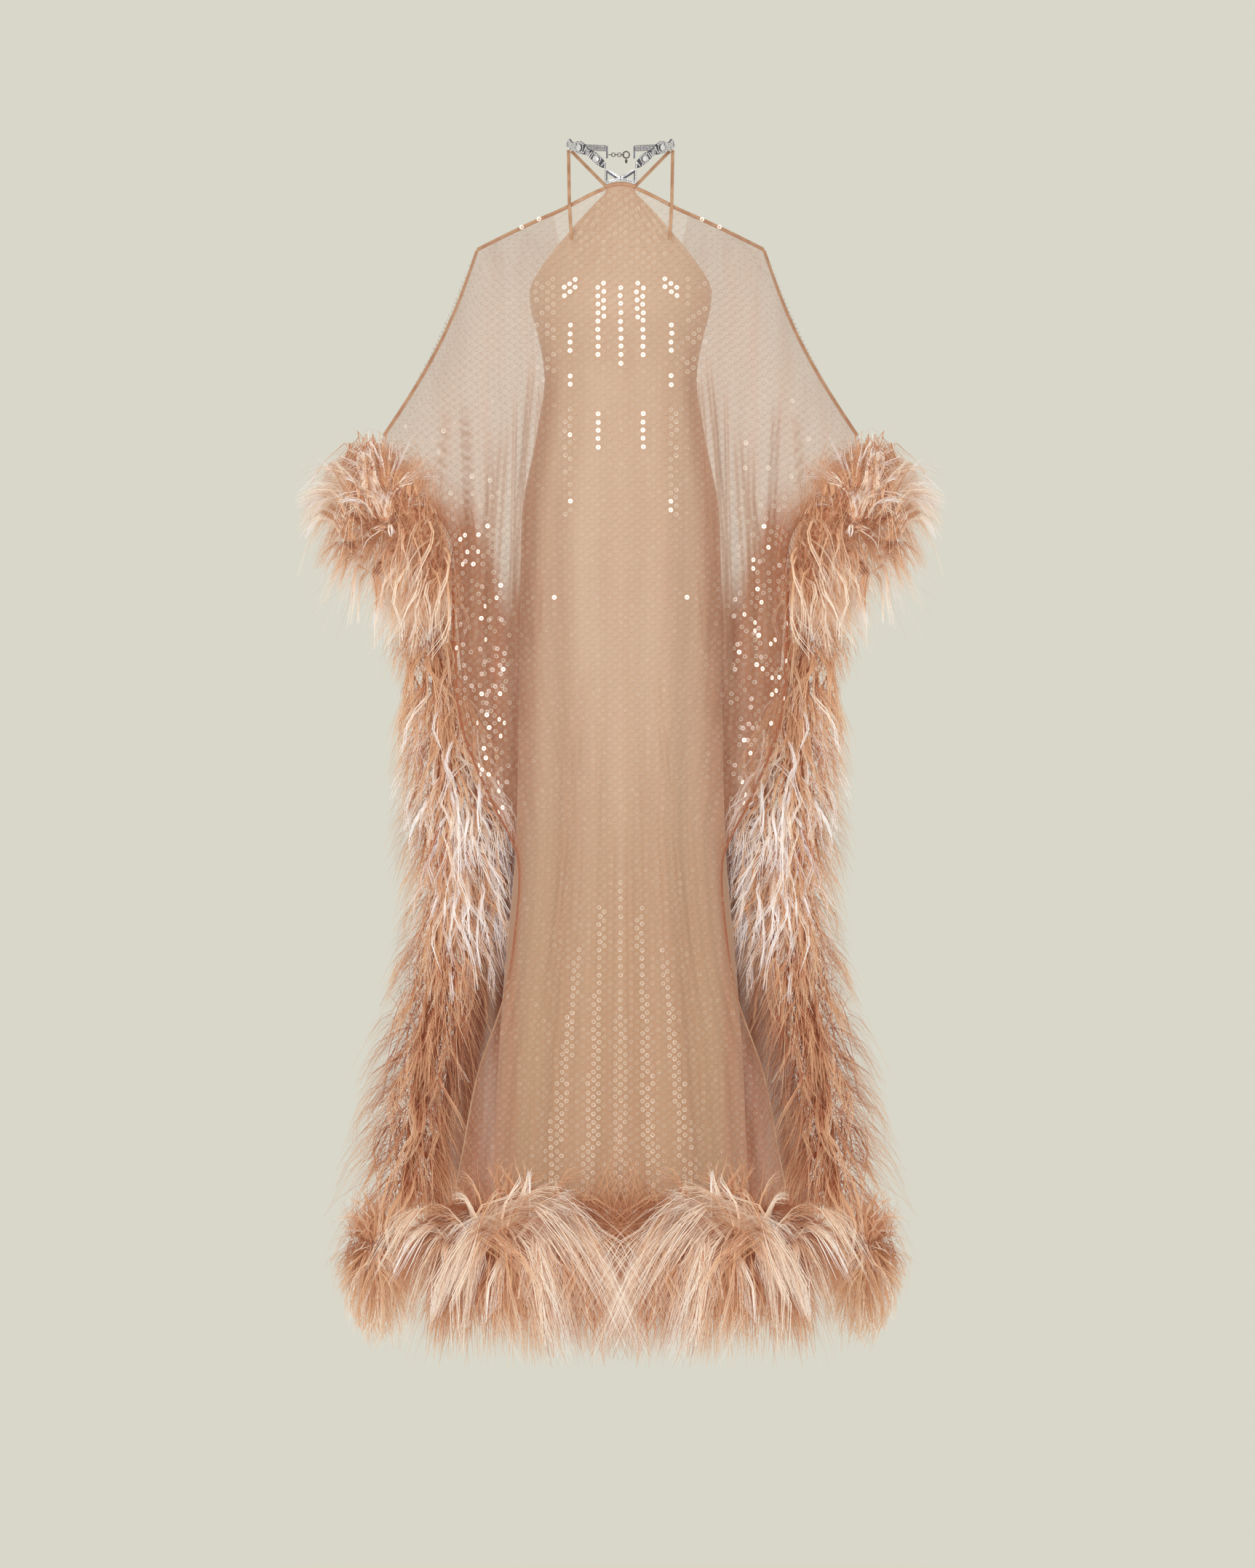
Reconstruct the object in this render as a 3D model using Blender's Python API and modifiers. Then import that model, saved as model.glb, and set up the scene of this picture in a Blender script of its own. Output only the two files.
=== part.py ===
"""Halter kaftan gown in sheer net over a slip, with feather trim and a crystal collar.

Metres, +Z up. The origin is the centre of the neck ring. The front faces -Y.
Every panel is a surface through sections worked out from the tables below.
"""

import math

import bmesh
import bpy
import numpy as np
from mathutils import Matrix, Vector

# Driving dimensions
CLOTH = 0.0015            # wall of the net and of the slip, with its sequins
SEAM_GAP = 0.0003         # between pieces that meet
TAPE_WIDTH = 0.0055       # bound edges
TAPE = 0.0012             # thickness of tape and ribbon
TAPE_SLACK = 0.0006       # how much further than the gap a tape stands off a folded panel
RIBBON_WIDTH = 0.0044
NECK_RADIUS = 0.066       # of the crystal collar
BAND_RADIUS = 0.0690      # of the cloth band in front of the throat
NECK_HALF_WIDTH = 0.020   # half of the neck band
NECK_Z = -0.0475          # lower edge of the neck band at its ends
NECK_RISE = 0.0040        # how far the band arches up at the centre
NECK_BAND = 0.0080        # height of the neck band
BAND_THICK = 0.0022
BAND_STRAP = Vector((0.0230, -0.0665, -0.0370))   # where the neck strap leaves the band
SHOULDER_X, SHOULDER_Z = 0.187, -0.120
WRIST_X, WRIST_Z = 0.311, -0.366
SLIP_HEM_Z = -1.373
PANEL_HEM_Z = -1.400
BACK_SCOOP_Z = -0.165     # lowest point of the back neckline
BACK_SCOOP_DEPTH = 0.098  # its depth behind the middle plane
ARM_ROUND = 0.075         # drop over which the panels round away from the shoulder line
LAYER_GAP = 0.0070        # from the slip's surface to the net over it

# Slip sections: height, half width, depth in front, depth behind, depth of skirt folds
SLIP = {
    "z": [-0.045, -0.080, -0.120, -0.171, -0.200, -0.240, -0.285, -0.360, -0.460,
          -0.600, -0.746, -0.888, -1.0925, -1.200, -1.300, -1.373],
    "half": [0.120, 0.121, 0.122, 0.120, 0.117, 0.107, 0.0995, 0.109, 0.128,
             0.131, 0.133, 0.136, 0.153, 0.160, 0.164, 0.168],
    "front": [0.0600, 0.0700, 0.0880, 0.1080, 0.1120, 0.0980, 0.0830, 0.0870, 0.1000,
              0.1080, 0.1150, 0.1260, 0.1420, 0.1500, 0.1580, 0.1640],
    "back": [0.0800, 0.0800, 0.0800, 0.0800, 0.0790, 0.0760, 0.0730, 0.0900, 0.1060,
             0.1120, 0.1180, 0.1290, 0.1460, 0.1560, 0.1640, 0.1700],
    "fold": [0.0, 0.0, 0.0, 0.0, 0.0, 0.0, 0.0003, 0.0008, 0.0014,
             0.0020, 0.0028, 0.0034, 0.0040, 0.0044, 0.0046, 0.0048],
}
SKIRT_FOLDS = 13          # folds round each half of the slip
SLIP_SIDE_TOP = -0.186    # where the halter edges meet the side seams
SLIP_BACK_DIP = 0.022     # how far the slip's back edge dips at its centre

# The slip's halter front above the side seams: height and half width
HALTER = {
    "z": [-0.049, -0.070, -0.100, -0.130, -0.150, -0.163, -0.174, SLIP_SIDE_TOP],
    "half": [0.0185, 0.040, 0.0665, 0.0915, 0.1060, 0.1140, 0.1190, 0.1195],
}
SLIP_LEVELS = [-0.205, -0.240, -0.285, -0.340, -0.410, -0.500, -0.600, -0.720, -0.850,
               -0.980, -1.110, -1.240, SLIP_HEM_Z]

# Net sections: height, front edge (across, depth), back edge (across, depth),
# and depth at the centre of the front and of the back
NET = {
    "z": [-0.045, -0.120, -0.240, -0.366, -0.500, -0.632, -0.750, -0.840, -0.917,
          -1.012, -1.0925, -1.200, -1.300, -1.400],
    "front_x": [0.120, 0.190, 0.250, 0.311, 0.222, 0.217, 0.206, 0.170, 0.134,
                0.138, 0.151, 0.187, 0.206, 0.226],
    "front_y": [0.040, 0.040, 0.045, 0.046, 0.064, 0.080, 0.088, 0.092, 0.094,
                0.098, 0.106, 0.112, 0.118, 0.124],
    "back_x": [0.120, 0.190, 0.250, 0.311, 0.222, 0.212, 0.203, 0.197, 0.193,
               0.200, 0.210, 0.228, 0.243, 0.256],
    "back_y": [0.040, 0.040, 0.045, 0.046, 0.052, 0.050, 0.048, 0.048, 0.050,
               0.056, 0.064, 0.078, 0.092, 0.106],
    "front": [0.0700, 0.0950, 0.1250, 0.1100, 0.1200, 0.1280, 0.1360, 0.1430, 0.1500,
              0.1580, 0.1660, 0.1780, 0.1900, 0.2020],
    "back": [0.0880, 0.0900, 0.0950, 0.1120, 0.1300, 0.1400, 0.1500, 0.1600, 0.1680,
             0.1800, 0.1920, 0.2080, 0.2240, 0.2400],
}

# Folds of the panels, each side: place across (0 centre, 1 edge), half breadth,
# depth at the top and at the hem
FRONT_FOLDS = {
    "across": [0.10, 0.27, 0.42, 0.55, 0.68, 0.80, 0.91],
    "breadth": [0.060, 0.055, 0.050, 0.042, 0.045, 0.045, 0.040],
    "top": [0.0005, 0.0020, 0.0050, 0.0040, 0.0060, 0.0050, 0.0040],
    "hem": [0.0050, 0.0090, 0.0080, 0.0100, 0.0080, 0.0090, 0.0070],
}
BACK_FOLDS = {
    "across": [0.00, 0.18, 0.36, 0.54, 0.70, 0.86],
    "breadth": [0.070, 0.065, 0.065, 0.060, 0.055, 0.050],
    "top": [0.0020, 0.0020, 0.0030, 0.0040, 0.0040, 0.0040],
    "hem": [0.0150, 0.0120, 0.0150, 0.0120, 0.0140, 0.0100],
}

# Shares of the top line at which the neck band and the shoulder line end, and at
# which the back neckline leaves the shoulder line
NECK_END, SHOULDER_END, SCOOP_END = 0.10, 0.60, 0.30

# Columns and levels of the panels' sections
SLIP_COLUMNS, SLIP_BACK_LEVELS = 22, 12
NET_COLUMNS, FRONT_LEVELS, BACK_LEVELS = 40, 15, 12
NET_EASE = 1.25           # levels lie closer at the top by this power
BOUND_FROM = 4            # level of the front panel from which its free edge is bound

# The crystal collar, each side: degrees from the centre front, height, breadth
COLLAR = {
    "turn": [17.0, 24.0, 31.0, 38.0, 46.0, 54.0, 62.0, 70.0, 80.0, 92.0, 104.0,
             118.0, 132.0, 146.0, 163.0],
    "z": [-0.0145, -0.0075, -0.0030, 0.0030, 0.0085, 0.0105, 0.0110, 0.0130, 0.0150,
          0.0155, 0.0150, 0.0140, 0.0130, 0.0125, 0.0120],
    "wide": [0.0080, 0.0150, 0.0150, 0.0090, 0.0150, 0.0170, 0.0120, 0.0090, 0.0140,
             0.0140, 0.0090, 0.0075, 0.0075, 0.0075, 0.0075],
}
COLLAR_THICK = 0.0026
STONE_HEIGHT = 0.0016
DROP_RADIUS, DROP_HEIGHT = 0.0018, 0.0030
ROSETTES = {"turn": [27.0, 51.0, 86.0], "radius": [0.0042, 0.0048, 0.0042]}
STRAP_TOP = Vector((0.0680, -0.0060, 0.0073))
STRAP_PAIR = Vector((-0.0040, 0, -0.0012))  # from the slip strap's top to the neck strap's
STRAP_ACROSS, STRAP_LIFT = 0.240, 0.0055   # where the strap crosses the net, and how far off it

# The chain behind the neck
CHAIN_Z = 0.0035
LINK_RADIUS, LINK_WIRE, LINKS = 0.0026, 0.0005, 5
CLASP_RADIUS, CLASP_WIRE = 0.0042, 0.0009
BAR = Vector((0.0022, 0.0032, 0.0165))

# Feather trims: radius of the sewn core and its sides
CORE_SIDES = 6
CUFF_CORE, SIDE_CORE, HEM_CORE = 0.026, 0.028, 0.022
CUFF_HEART = Vector((0.296, 0, -0.485))    # what the cuff's feathers radiate from
CUFF_TOP = Vector((WRIST_X + 0.020, 0, WRIST_Z - 0.030))
CUFF_FROM, CUFF_TO = -0.390, -0.560        # heights of the cuff's core on the free edges
SIDE_FROM, SIDE_TO = -0.600, -1.400        # and of the side trim's core on the back edge
TUFT_DROP = Vector((0.006, 0, -0.034))     # the side trim's core ends this far below the edge
TUFT_FROM = 0.88          # share of the side trim from which its locks hang as a tuft
HEM_FORWARD = 0.0040      # how far the hems' cores stand out past the cloth
FRONT_HEM_LIFT = 0.0010   # how much closer the front one is sewn
HEM_STATIONS = 14
FAN_X = 0.155             # where the front hem's feathers fan out from

# A lock of feather: places along it with its breadth there, shares of its length that
# are tried, its half breadth at the root, and the room kept between locks
LOCK_FORM = ((0.0, 1.0), (0.34, 0.62), (0.70, 0.34), (1.0, 0.06))
LOCK_SHARES = (1.0, 0.85, 0.7, 0.55)
LOCK_REACH, LOCK_ROOM, CLOTH_ROOM = 0.013, 0.002, 0.004
FOLD_ROOM, INNER_ROOM = 0.014, 0.006       # kept free of feathers outside and inside a panel

# Colours
SLIP_COLOUR = (0.62, 0.42, 0.28)
NET_COLOUR = (0.70, 0.51, 0.40)
TAPE_COLOUR = (0.58, 0.34, 0.20)
FEATHER_COLOUR = (0.72, 0.44, 0.30)
CRYSTAL_COLOUR = (0.80, 0.79, 0.80)
DARK_METAL = (0.20, 0.20, 0.21)

UP = Vector((0, 0, 1))
DOWN = Vector((0, 0, -1))


def column(table, name, at, key="z"):
    """The value of a table's column, on a smooth curve through its rows."""
    places, values = np.array(table[key]), np.array(table[name])
    if places[0] > places[-1]:
        places, values = places[::-1], values[::-1]
    slopes = np.gradient(values, places)
    at = min(max(at, places[0]), places[-1])
    i = min(int(np.searchsorted(places, at, side="right")) - 1, len(places) - 2)
    span = places[i + 1] - places[i]
    t = (at - places[i]) / span
    chord = (values[i + 1] - values[i]) / span
    start, end = np.clip(slopes[i:i + 2], -3 * abs(chord), 3 * abs(chord))
    return float(
        (2 * t**3 - 3 * t**2 + 1) * values[i]
        + (t**3 - 2 * t**2 + t) * span * start
        + (3 * t**2 - 2 * t**3) * values[i + 1]
        + (t**3 - t**2) * span * end
    )


def mix(a, b, t):
    return a + (b - a) * t


def smooth(t):
    t = min(max(t, 0.0), 1.0)
    return t * t * (3 - 2 * t)


def material(name, colour, roughness, metallic=0.0):
    made = bpy.data.materials.new(name)
    made.use_nodes = True
    shader = made.node_tree.nodes["Principled BSDF"]
    shader.inputs["Base Color"].default_value = (*colour, 1.0)
    shader.inputs["Roughness"].default_value = roughness
    shader.inputs["Metallic"].default_value = metallic
    return made


def place(name, mesh, finish, collection):
    """A mesh made an object of the gown, with its finish."""
    made = bpy.data.objects.new(name, mesh)
    mesh.materials.append(finish)
    mesh.shade_smooth()
    mesh.set_sharp_from_angle(angle=math.radians(50))
    collection.objects.link(made)
    return made


def mirrored(name, source, finish, collection):
    """The left piece, made from the right one."""
    mesh = source.data.copy()
    mesh.materials.clear()
    mesh.transform(Matrix.Scale(-1, 4, (1, 0, 0)))
    mesh.flip_normals()
    place(name, mesh, finish, collection)


def mesh_from(bm, name):
    bmesh.ops.recalc_face_normals(bm, faces=bm.faces[:])
    if bm.calc_volume(signed=True) < 0 and all(edge.is_manifold for edge in bm.edges):
        bmesh.ops.reverse_faces(bm, faces=bm.faces[:])
    mesh = bpy.data.meshes.new(name)
    bm.to_mesh(mesh)
    bm.free()
    return mesh


def cloth(name, rows, finish, collection, thickness=CLOTH):
    """An open surface through rows of points, given its wall by Solidify."""
    bm = bmesh.new()
    grid = [[bm.verts.new(point) for point in row] for row in rows]
    for upper, lower in zip(grid, grid[1:]):
        for i in range(len(upper) - 1):
            bm.faces.new((upper[i], lower[i], lower[i + 1], upper[i + 1]))
    made = place(name, mesh_from(bm, name), finish, collection)
    wall = made.modifiers.new("Wall", "SOLIDIFY")
    wall.thickness = thickness
    wall.offset = 0.0
    return made


def ringed(bm, rings):
    """A tube of faces through rings of points, and its grid of corners."""
    grid = [[bm.verts.new(point) for point in ring] for ring in rings]
    count = len(grid[0])
    for first, second in zip(grid, grid[1:]):
        for i in range(count):
            j = (i + 1) % count
            bm.faces.new((first[i], first[j], second[j], second[i]))
    bm.faces.new(grid[0])
    bm.faces.new(grid[-1])
    return grid


def loft(name, rings, finish, collection):
    """A closed solid through rings of points, with a flat cap at each end."""
    bm = bmesh.new()
    ringed(bm, rings)
    return place(name, mesh_from(bm, name), finish, collection)


# The slip

def slip_point(angle, z, side):
    """A point of the slip; angle runs from the centre line round to the side seam."""
    depth = column(SLIP, "front" if side < 0 else "back", z)
    fold = column(SLIP, "fold", z) * math.cos(angle * SKIRT_FOLDS)
    out = 1 + fold * math.sqrt(max(0.0, math.cos(angle))) / depth
    across = column(SLIP, "half", z) * math.sin(angle) * out
    return Vector((across, side * (depth * math.cos(angle) * out + SEAM_GAP / 2), z))


def slip_depth(x, z, side):
    """How far the slip lies from the middle plane at x, or 0 beside it."""
    half = column(SLIP, "half", z)
    if abs(x) >= half:
        return 0.0
    depth = column(SLIP, "front" if side < 0 else "back", z)
    return depth * math.sqrt(1 - (x / half) ** 2) + column(SLIP, "fold", z)


def slip_neck(t):
    """The slip's top edge, close behind the net under the neck band; t runs -1 to 1."""
    turn = math.degrees(math.asin(t * HALTER["half"][0] / BAND_RADIUS))
    rise = NECK_RISE * math.cos(t * math.pi / 2)
    return on_ring(turn, HALTER["z"][0] + rise, BAND_RADIUS - 2 * SEAM_GAP)


def slip_front_rows():
    places = [mix(-1.0, 1.0, i / SLIP_COLUMNS) for i in range(SLIP_COLUMNS + 1)]
    rows = [[slip_neck(t) for t in places]]
    for z in HALTER["z"][1:] + SLIP_LEVELS:
        reach = math.pi / 2
        if z > SLIP_SIDE_TOP:
            reach = math.asin(column(HALTER, "half", z) / column(SLIP, "half", z))
        rows.append([slip_point(reach * t, z, -1) for t in places])
    return rows


def slip_back_rows():
    rows = []
    for j in range(SLIP_BACK_LEVELS + 1):
        row = []
        for i in range(SLIP_COLUMNS + 1):
            angle = mix(-math.pi / 2, math.pi / 2, i / SLIP_COLUMNS)
            top = SLIP_SIDE_TOP - SLIP_BACK_DIP * math.cos(angle) ** 2
            level = (j / SLIP_BACK_LEVELS) ** 1.1
            row.append(slip_point(angle, mix(top, SLIP_HEM_Z, level), 1))
        rows.append(row)
    return rows


# The net panels

def top_line(across):
    """The shoulder line of both panels: neck band, shoulder point, wrist."""
    neck = on_ring(math.degrees(math.asin(NECK_HALF_WIDTH / BAND_RADIUS)), NECK_Z, BAND_RADIUS)
    shoulder = Vector((SHOULDER_X, 0.0, SHOULDER_Z))
    wrist = Vector((WRIST_X, 0.0, WRIST_Z))
    if across <= NECK_END:
        t = across / NECK_END
        turn = math.degrees(t * math.asin(NECK_HALF_WIDTH / BAND_RADIUS))
        return on_ring(turn, NECK_Z + NECK_RISE * math.cos(t * math.pi / 2), BAND_RADIUS)
    if across <= SHOULDER_END:
        t = (across - NECK_END) / (SHOULDER_END - NECK_END)
        sway = math.sin(math.pi * t)
        return neck.lerp(shoulder, t) + Vector((0, -0.010 * sway, 0.003 * sway))
    t = (across - SHOULDER_END) / (1 - SHOULDER_END)
    return shoulder.lerp(wrist, t) + Vector((-0.013 * math.sin(math.pi * t), 0, 0))


def back_top(across):
    """Top of the back panel: the shoulder line, then a scoop behind the neck."""
    if across >= SCOOP_END:
        return top_line(across)
    edge = top_line(SCOOP_END)
    turn = across / SCOOP_END * math.pi / 2
    y = mix(BACK_SCOOP_DEPTH, edge.y, 1 - math.cos(turn) ** 0.8)
    z = mix(BACK_SCOOP_Z, edge.z, 1 - math.cos(turn))
    return Vector((edge.x * math.sin(turn) ** 0.9, y, z))


def fold_depth(table, across, down):
    """How far the folds stand out at this place across, growing from top to hem."""
    total = 0.0
    for middle, breadth, top, hem in zip(*table.values()):
        total += mix(top, hem, down) * math.exp(-(((abs(across) - middle) / breadth) ** 2))
    return total


def net_point(across, down, side):
    """A point of the front (side -1) or back (side 1) panel; across -1..1, down 0..1."""
    u = abs(across)
    name = "front" if side < 0 else "back"
    top = top_line(u) if side < 0 else back_top(u)
    z = mix(top.z, PANEL_HEM_Z, down)
    edge = column(NET, name + "_x", mix(WRIST_Z, PANEL_HEM_Z, down))
    x = mix(top.x / WRIST_X, u, smooth(down * 1.6)) * edge
    reach = column(NET, name + "_x", z)
    bulge = math.sqrt(max(0.0, 1 - min(1.0, x / reach) ** 2))
    depth = mix(column(NET, name + "_y", z), column(NET, name, z), bulge)
    depth = max(depth, slip_depth(x, z, side) + LAYER_GAP)
    depth += fold_depth(FRONT_FOLDS if side < 0 else BACK_FOLDS, u, down) * smooth(down * 4)
    round_off = 1 - min(1.0, (top.z - z) / ARM_ROUND)
    leave = math.sqrt(max(0.0, 1 - round_off ** 2))
    start = side * top.y + (CLOTH + SEAM_GAP) / 2
    return Vector((math.copysign(x, across), side * mix(start, depth, leave), z))


def net_rows(side, levels):
    rows = []
    for j in range(levels + 1):
        down = (j / levels) ** NET_EASE
        rows.append([
            net_point(mix(-1.0, 1.0, i / NET_COLUMNS), down, side)
            for i in range(NET_COLUMNS + 1)
        ])
    return rows


# Tapes and ribbons

def on_ring(degrees, z, radius=NECK_RADIUS):
    """A point round the neck; 0 degrees is the centre front."""
    turn = math.radians(degrees)
    return Vector((radius * math.sin(turn), -radius * math.cos(turn), z))


def edge_tape(name, edge, inner, finish, collection):
    """A tape on the front panel's outer face, from its edge towards the next points in."""
    lift = CLOTH / 2 + SEAM_GAP + TAPE / 2 + TAPE_SLACK
    at_edge, within = [], []
    for i, (point, next_in) in enumerate(zip(edge, inner)):
        along = edge[min(i + 1, len(edge) - 1)] - edge[max(i - 1, 0)]
        inward = (next_in - point).normalized()
        out = along.cross(inward).normalized()
        if out.y > 0:
            out = -out
        at_edge.append(point + out * lift)
        within.append(point + inward * TAPE_WIDTH + out * lift)
    cloth(name, [at_edge, within], finish, collection, TAPE)


def tapes(finish, collection):
    """Bound edges of the front panel: shoulder lines, sleeve tops and free sides."""
    rows = net_rows(-1, FRONT_LEVELS)
    half = NET_COLUMNS // 2
    neck, shoulder = round(NECK_END * half), round(SHOULDER_END * half)
    for letter, sign in (("L", -1), ("R", 1)):
        def strip(first, last, level):
            return [rows[level][half + sign * i] for i in range(first, last + 1)]

        edge_tape("shoulder_tape_" + letter, strip(neck, shoulder, 0),
                  strip(neck, shoulder, 1), finish, collection)
        free = [row[half + sign * half] for row in rows[BOUND_FROM:]]
        beside = [row[half + sign * (half - 1)] for row in rows[BOUND_FROM:]]
        edge_tape("side_tape_" + letter, free, beside, finish, collection)
        sleeve = strip(shoulder, half - 1, 0)
        below = strip(shoulder, half - 1, 1)
        step = (sleeve[1] - sleeve[0]) * (2 * SEAM_GAP / (sleeve[1] - sleeve[0]).length)
        sleeve[0] = sleeve[0] + step
        below[0] = below[0] + step
        edge_tape("sleeve_tape_" + letter, sleeve, below, finish, collection)


def ribbon(name, centres, width, thickness, finish, collection, across):
    """A flat ribbon along a path; across is the direction of its width."""
    rings = []
    for i, centre in enumerate(centres):
        along = (centres[min(i + 1, len(centres) - 1)] - centres[max(i - 1, 0)]).normalized()
        wide = (across - along * across.dot(along)).normalized()
        thick = along.cross(wide) * (thickness / 2)
        wide *= width / 2
        rings.append([centre + wide + thick, centre - wide + thick,
                      centre - wide - thick, centre + wide - thick])
    loft(name, rings, finish, collection)


def neck_band(finish, collection):
    steps = 10
    reach = math.degrees(math.asin(NECK_HALF_WIDTH / BAND_RADIUS))
    centres = []
    for i in range(steps + 1):
        t = mix(-1.0, 1.0, i / steps)
        rise = NECK_RISE * math.cos(t * math.pi / 2)
        middle = NECK_Z + rise + CLOTH / 2 + SEAM_GAP + NECK_BAND / 2
        centres.append(on_ring(t * reach, middle, BAND_RADIUS))
    ribbon("neck_band", centres, NECK_BAND, BAND_THICK, finish, collection, UP)


def straps(finish, collection):
    """Each side: a ribbon from the neck band up to the collar, and one down to the slip."""
    for letter, sign in (("L", -1), ("R", 1)):
        def turned(point):
            return Vector((sign * point[0], point[1], point[2]))

        top = turned(STRAP_TOP)
        ribbon("neck_strap_" + letter, [turned(BAND_STRAP), top + turned(STRAP_PAIR)],
               RIBBON_WIDTH, TAPE, finish, collection, turned((0.75, 0, 0.66)))
        over = net_point(STRAP_ACROSS, 0.0, -1)
        low = net_point(STRAP_ACROSS, (1 / FRONT_LEVELS) ** NET_EASE, -1)
        bend = turned((over.x, over.y - STRAP_LIFT, over.z + 0.0015))
        end = turned((low.x, low.y - STRAP_LIFT, low.z))
        ribbon("slip_strap_" + letter, [top, bend, end], RIBBON_WIDTH, TAPE, finish,
               collection, Vector((1, 0, 0)))


# The crystal collar

def collar_side(letter, sign, finish, collection):
    """One side's band: flat within, domed outside, as broad as its table says."""
    rings = []
    for turn in np.linspace(COLLAR["turn"][0], COLLAR["turn"][-1], 27):
        z = column(COLLAR, "z", turn, "turn")
        half = column(COLLAR, "wide", turn, "turn") / 2
        ring = []
        for out, up in ((0, half), (0.7, half), (1, half * 0.5), (1, -half * 0.5),
                        (0.7, -half), (0, -half)):
            ring.append(on_ring(sign * turn, z + up, NECK_RADIUS + out * COLLAR_THICK))
        rings.append(ring)
    loft("collar_" + letter, rings, finish, collection)


def dome(name, centre, radius, height, out, finish, collection):
    """A round stone: half a sphere, flattened, standing on the collar."""
    bm = bmesh.new()
    bmesh.ops.create_uvsphere(bm, u_segments=10, v_segments=6, radius=radius)
    turn = UP.rotation_difference(out)
    for vert in bm.verts:
        vert.co.z *= height / radius
        vert.co = turn @ vert.co + centre
    place(name, mesh_from(bm, name), finish, collection)


def collar_point(finish, collection):
    """Two open triangles of stones over the neck band."""
    outline = [(0.0205, -0.0376), (0.0205, -0.0197), (0.0150, -0.0197), (0.0, -0.0285),
               (-0.0150, -0.0197), (-0.0205, -0.0197), (-0.0205, -0.0376), (0.0, -0.0335)]
    hole = [(0.0172, -0.0338), (0.0172, -0.0240), (0.0070, -0.0306), (0.0078, -0.0322)]
    curve = bpy.data.curves.new("collar_point", "CURVE")
    curve.dimensions = "2D"
    curve.fill_mode = "BOTH"
    curve.extrude = COLLAR_THICK / 2
    for ring in (outline, hole, [(-x, z) for x, z in hole]):
        line = curve.splines.new("POLY")
        line.points.add(len(ring) - 1)
        for point, (x, z) in zip(line.points, ring):
            point.co = (x, z, 0, 1)
        line.use_cyclic_u = True
    flat = bpy.data.objects.new("collar_point_curve", curve)
    collection.objects.link(flat)
    bpy.context.view_layer.update()
    graph = bpy.context.evaluated_depsgraph_get()
    mesh = bpy.data.meshes.new_from_object(flat.evaluated_get(graph))
    bpy.data.objects.remove(flat)
    bm = bmesh.new()
    bm.from_mesh(mesh)
    bmesh.ops.remove_doubles(bm, verts=bm.verts[:], dist=0.00001)
    for vert in bm.verts:
        x, z, depth = vert.co
        ring_y = -math.sqrt((BAND_RADIUS + 0.0005) ** 2 - x**2)
        vert.co = Vector((x, ring_y + depth, z))
    bpy.data.meshes.remove(mesh)
    place("collar_point", mesh_from(bm, "collar_point"), finish, collection)


def link(name, centre, radius, wire, flat, turns, finish, collection):
    """A closed ring of wire; a flat one lies level, the other stands facing the back."""
    rings = []
    for i in range(turns):
        turn = 2 * math.pi * i / turns
        outward = Vector((math.cos(turn), 0, math.sin(turn)))
        aside = Vector((0, 1, 0))
        if flat:
            outward = Vector((math.cos(turn), math.sin(turn), 0))
            aside = UP
        rings.append([
            centre + outward * (radius + wire * math.cos(k * math.pi / 2))
            + aside * wire * math.sin(k * math.pi / 2)
            for k in range(4)
        ])
    bm = bmesh.new()
    grid = [[bm.verts.new(point) for point in ring] for ring in rings]
    for i in range(turns):
        for k in range(4):
            first, second = grid[i], grid[(i + 1) % turns]
            bm.faces.new((first[k], first[(k + 1) % 4], second[(k + 1) % 4], second[k]))
    place(name, mesh_from(bm, name), finish, collection)


def collar(crystal, metal, collection):
    for letter, sign in (("L", -1), ("R", 1)):
        collar_side(letter, sign, crystal, collection)
        for number, (turn, radius) in enumerate(zip(*ROSETTES.values()), 1):
            lift = NECK_RADIUS + COLLAR_THICK + STONE_HEIGHT + SEAM_GAP
            centre = on_ring(sign * turn, column(COLLAR, "z", turn, "turn"), lift)
            dome(f"stone_{letter}{number}", centre, radius, STONE_HEIGHT,
                 on_ring(sign * turn, 0).normalized(), crystal, collection)
    collar_point(crystal, collection)
    chain(metal, collection)


def chain(metal, collection):
    """Two end bars, a row of links, the round clasp and its drop."""
    last = COLLAR["turn"][-1]
    end = on_ring(last, 0, NECK_RADIUS + COLLAR_THICK / 2)
    bar_x = on_ring(last, 0).x - BAR.x / 2 - SEAM_GAP
    for letter, sign in (("L", -1), ("R", 1)):
        bm = bmesh.new()
        bmesh.ops.create_cube(bm, size=1.0)
        centre = Vector((sign * bar_x, end.y + 0.0006, CHAIN_Z + 0.0035))
        for vert in bm.verts:
            vert.co = Vector(a * b for a, b in zip(vert.co, BAR)) + centre
        place("collar_bar_" + letter, mesh_from(bm, "collar_bar"), metal, collection)
    y = end.y
    step = 2 * LINK_RADIUS - 2 * LINK_WIRE - SEAM_GAP
    x = -bar_x + BAR.x / 2 + SEAM_GAP + LINK_WIRE + LINK_RADIUS
    for i in range(LINKS):
        link(f"chain_link_{i + 1}", Vector((x, y, CHAIN_Z)), LINK_RADIUS, LINK_WIRE,
             i % 2 == 0, 10, metal, collection)
        x += step
    x += (CLASP_RADIUS - CLASP_WIRE) - (LINK_RADIUS - LINK_WIRE)
    clasp = Vector((x, y, CHAIN_Z))
    link("clasp_ring", clasp, CLASP_RADIUS, CLASP_WIRE, False, 14, metal, collection)
    hangs = clasp - UP * (CLASP_RADIUS + CLASP_WIRE + SEAM_GAP + DROP_HEIGHT)
    dome("collar_drop", hangs, DROP_RADIUS, DROP_HEIGHT, UP, metal, collection)


# Feathers

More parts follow.
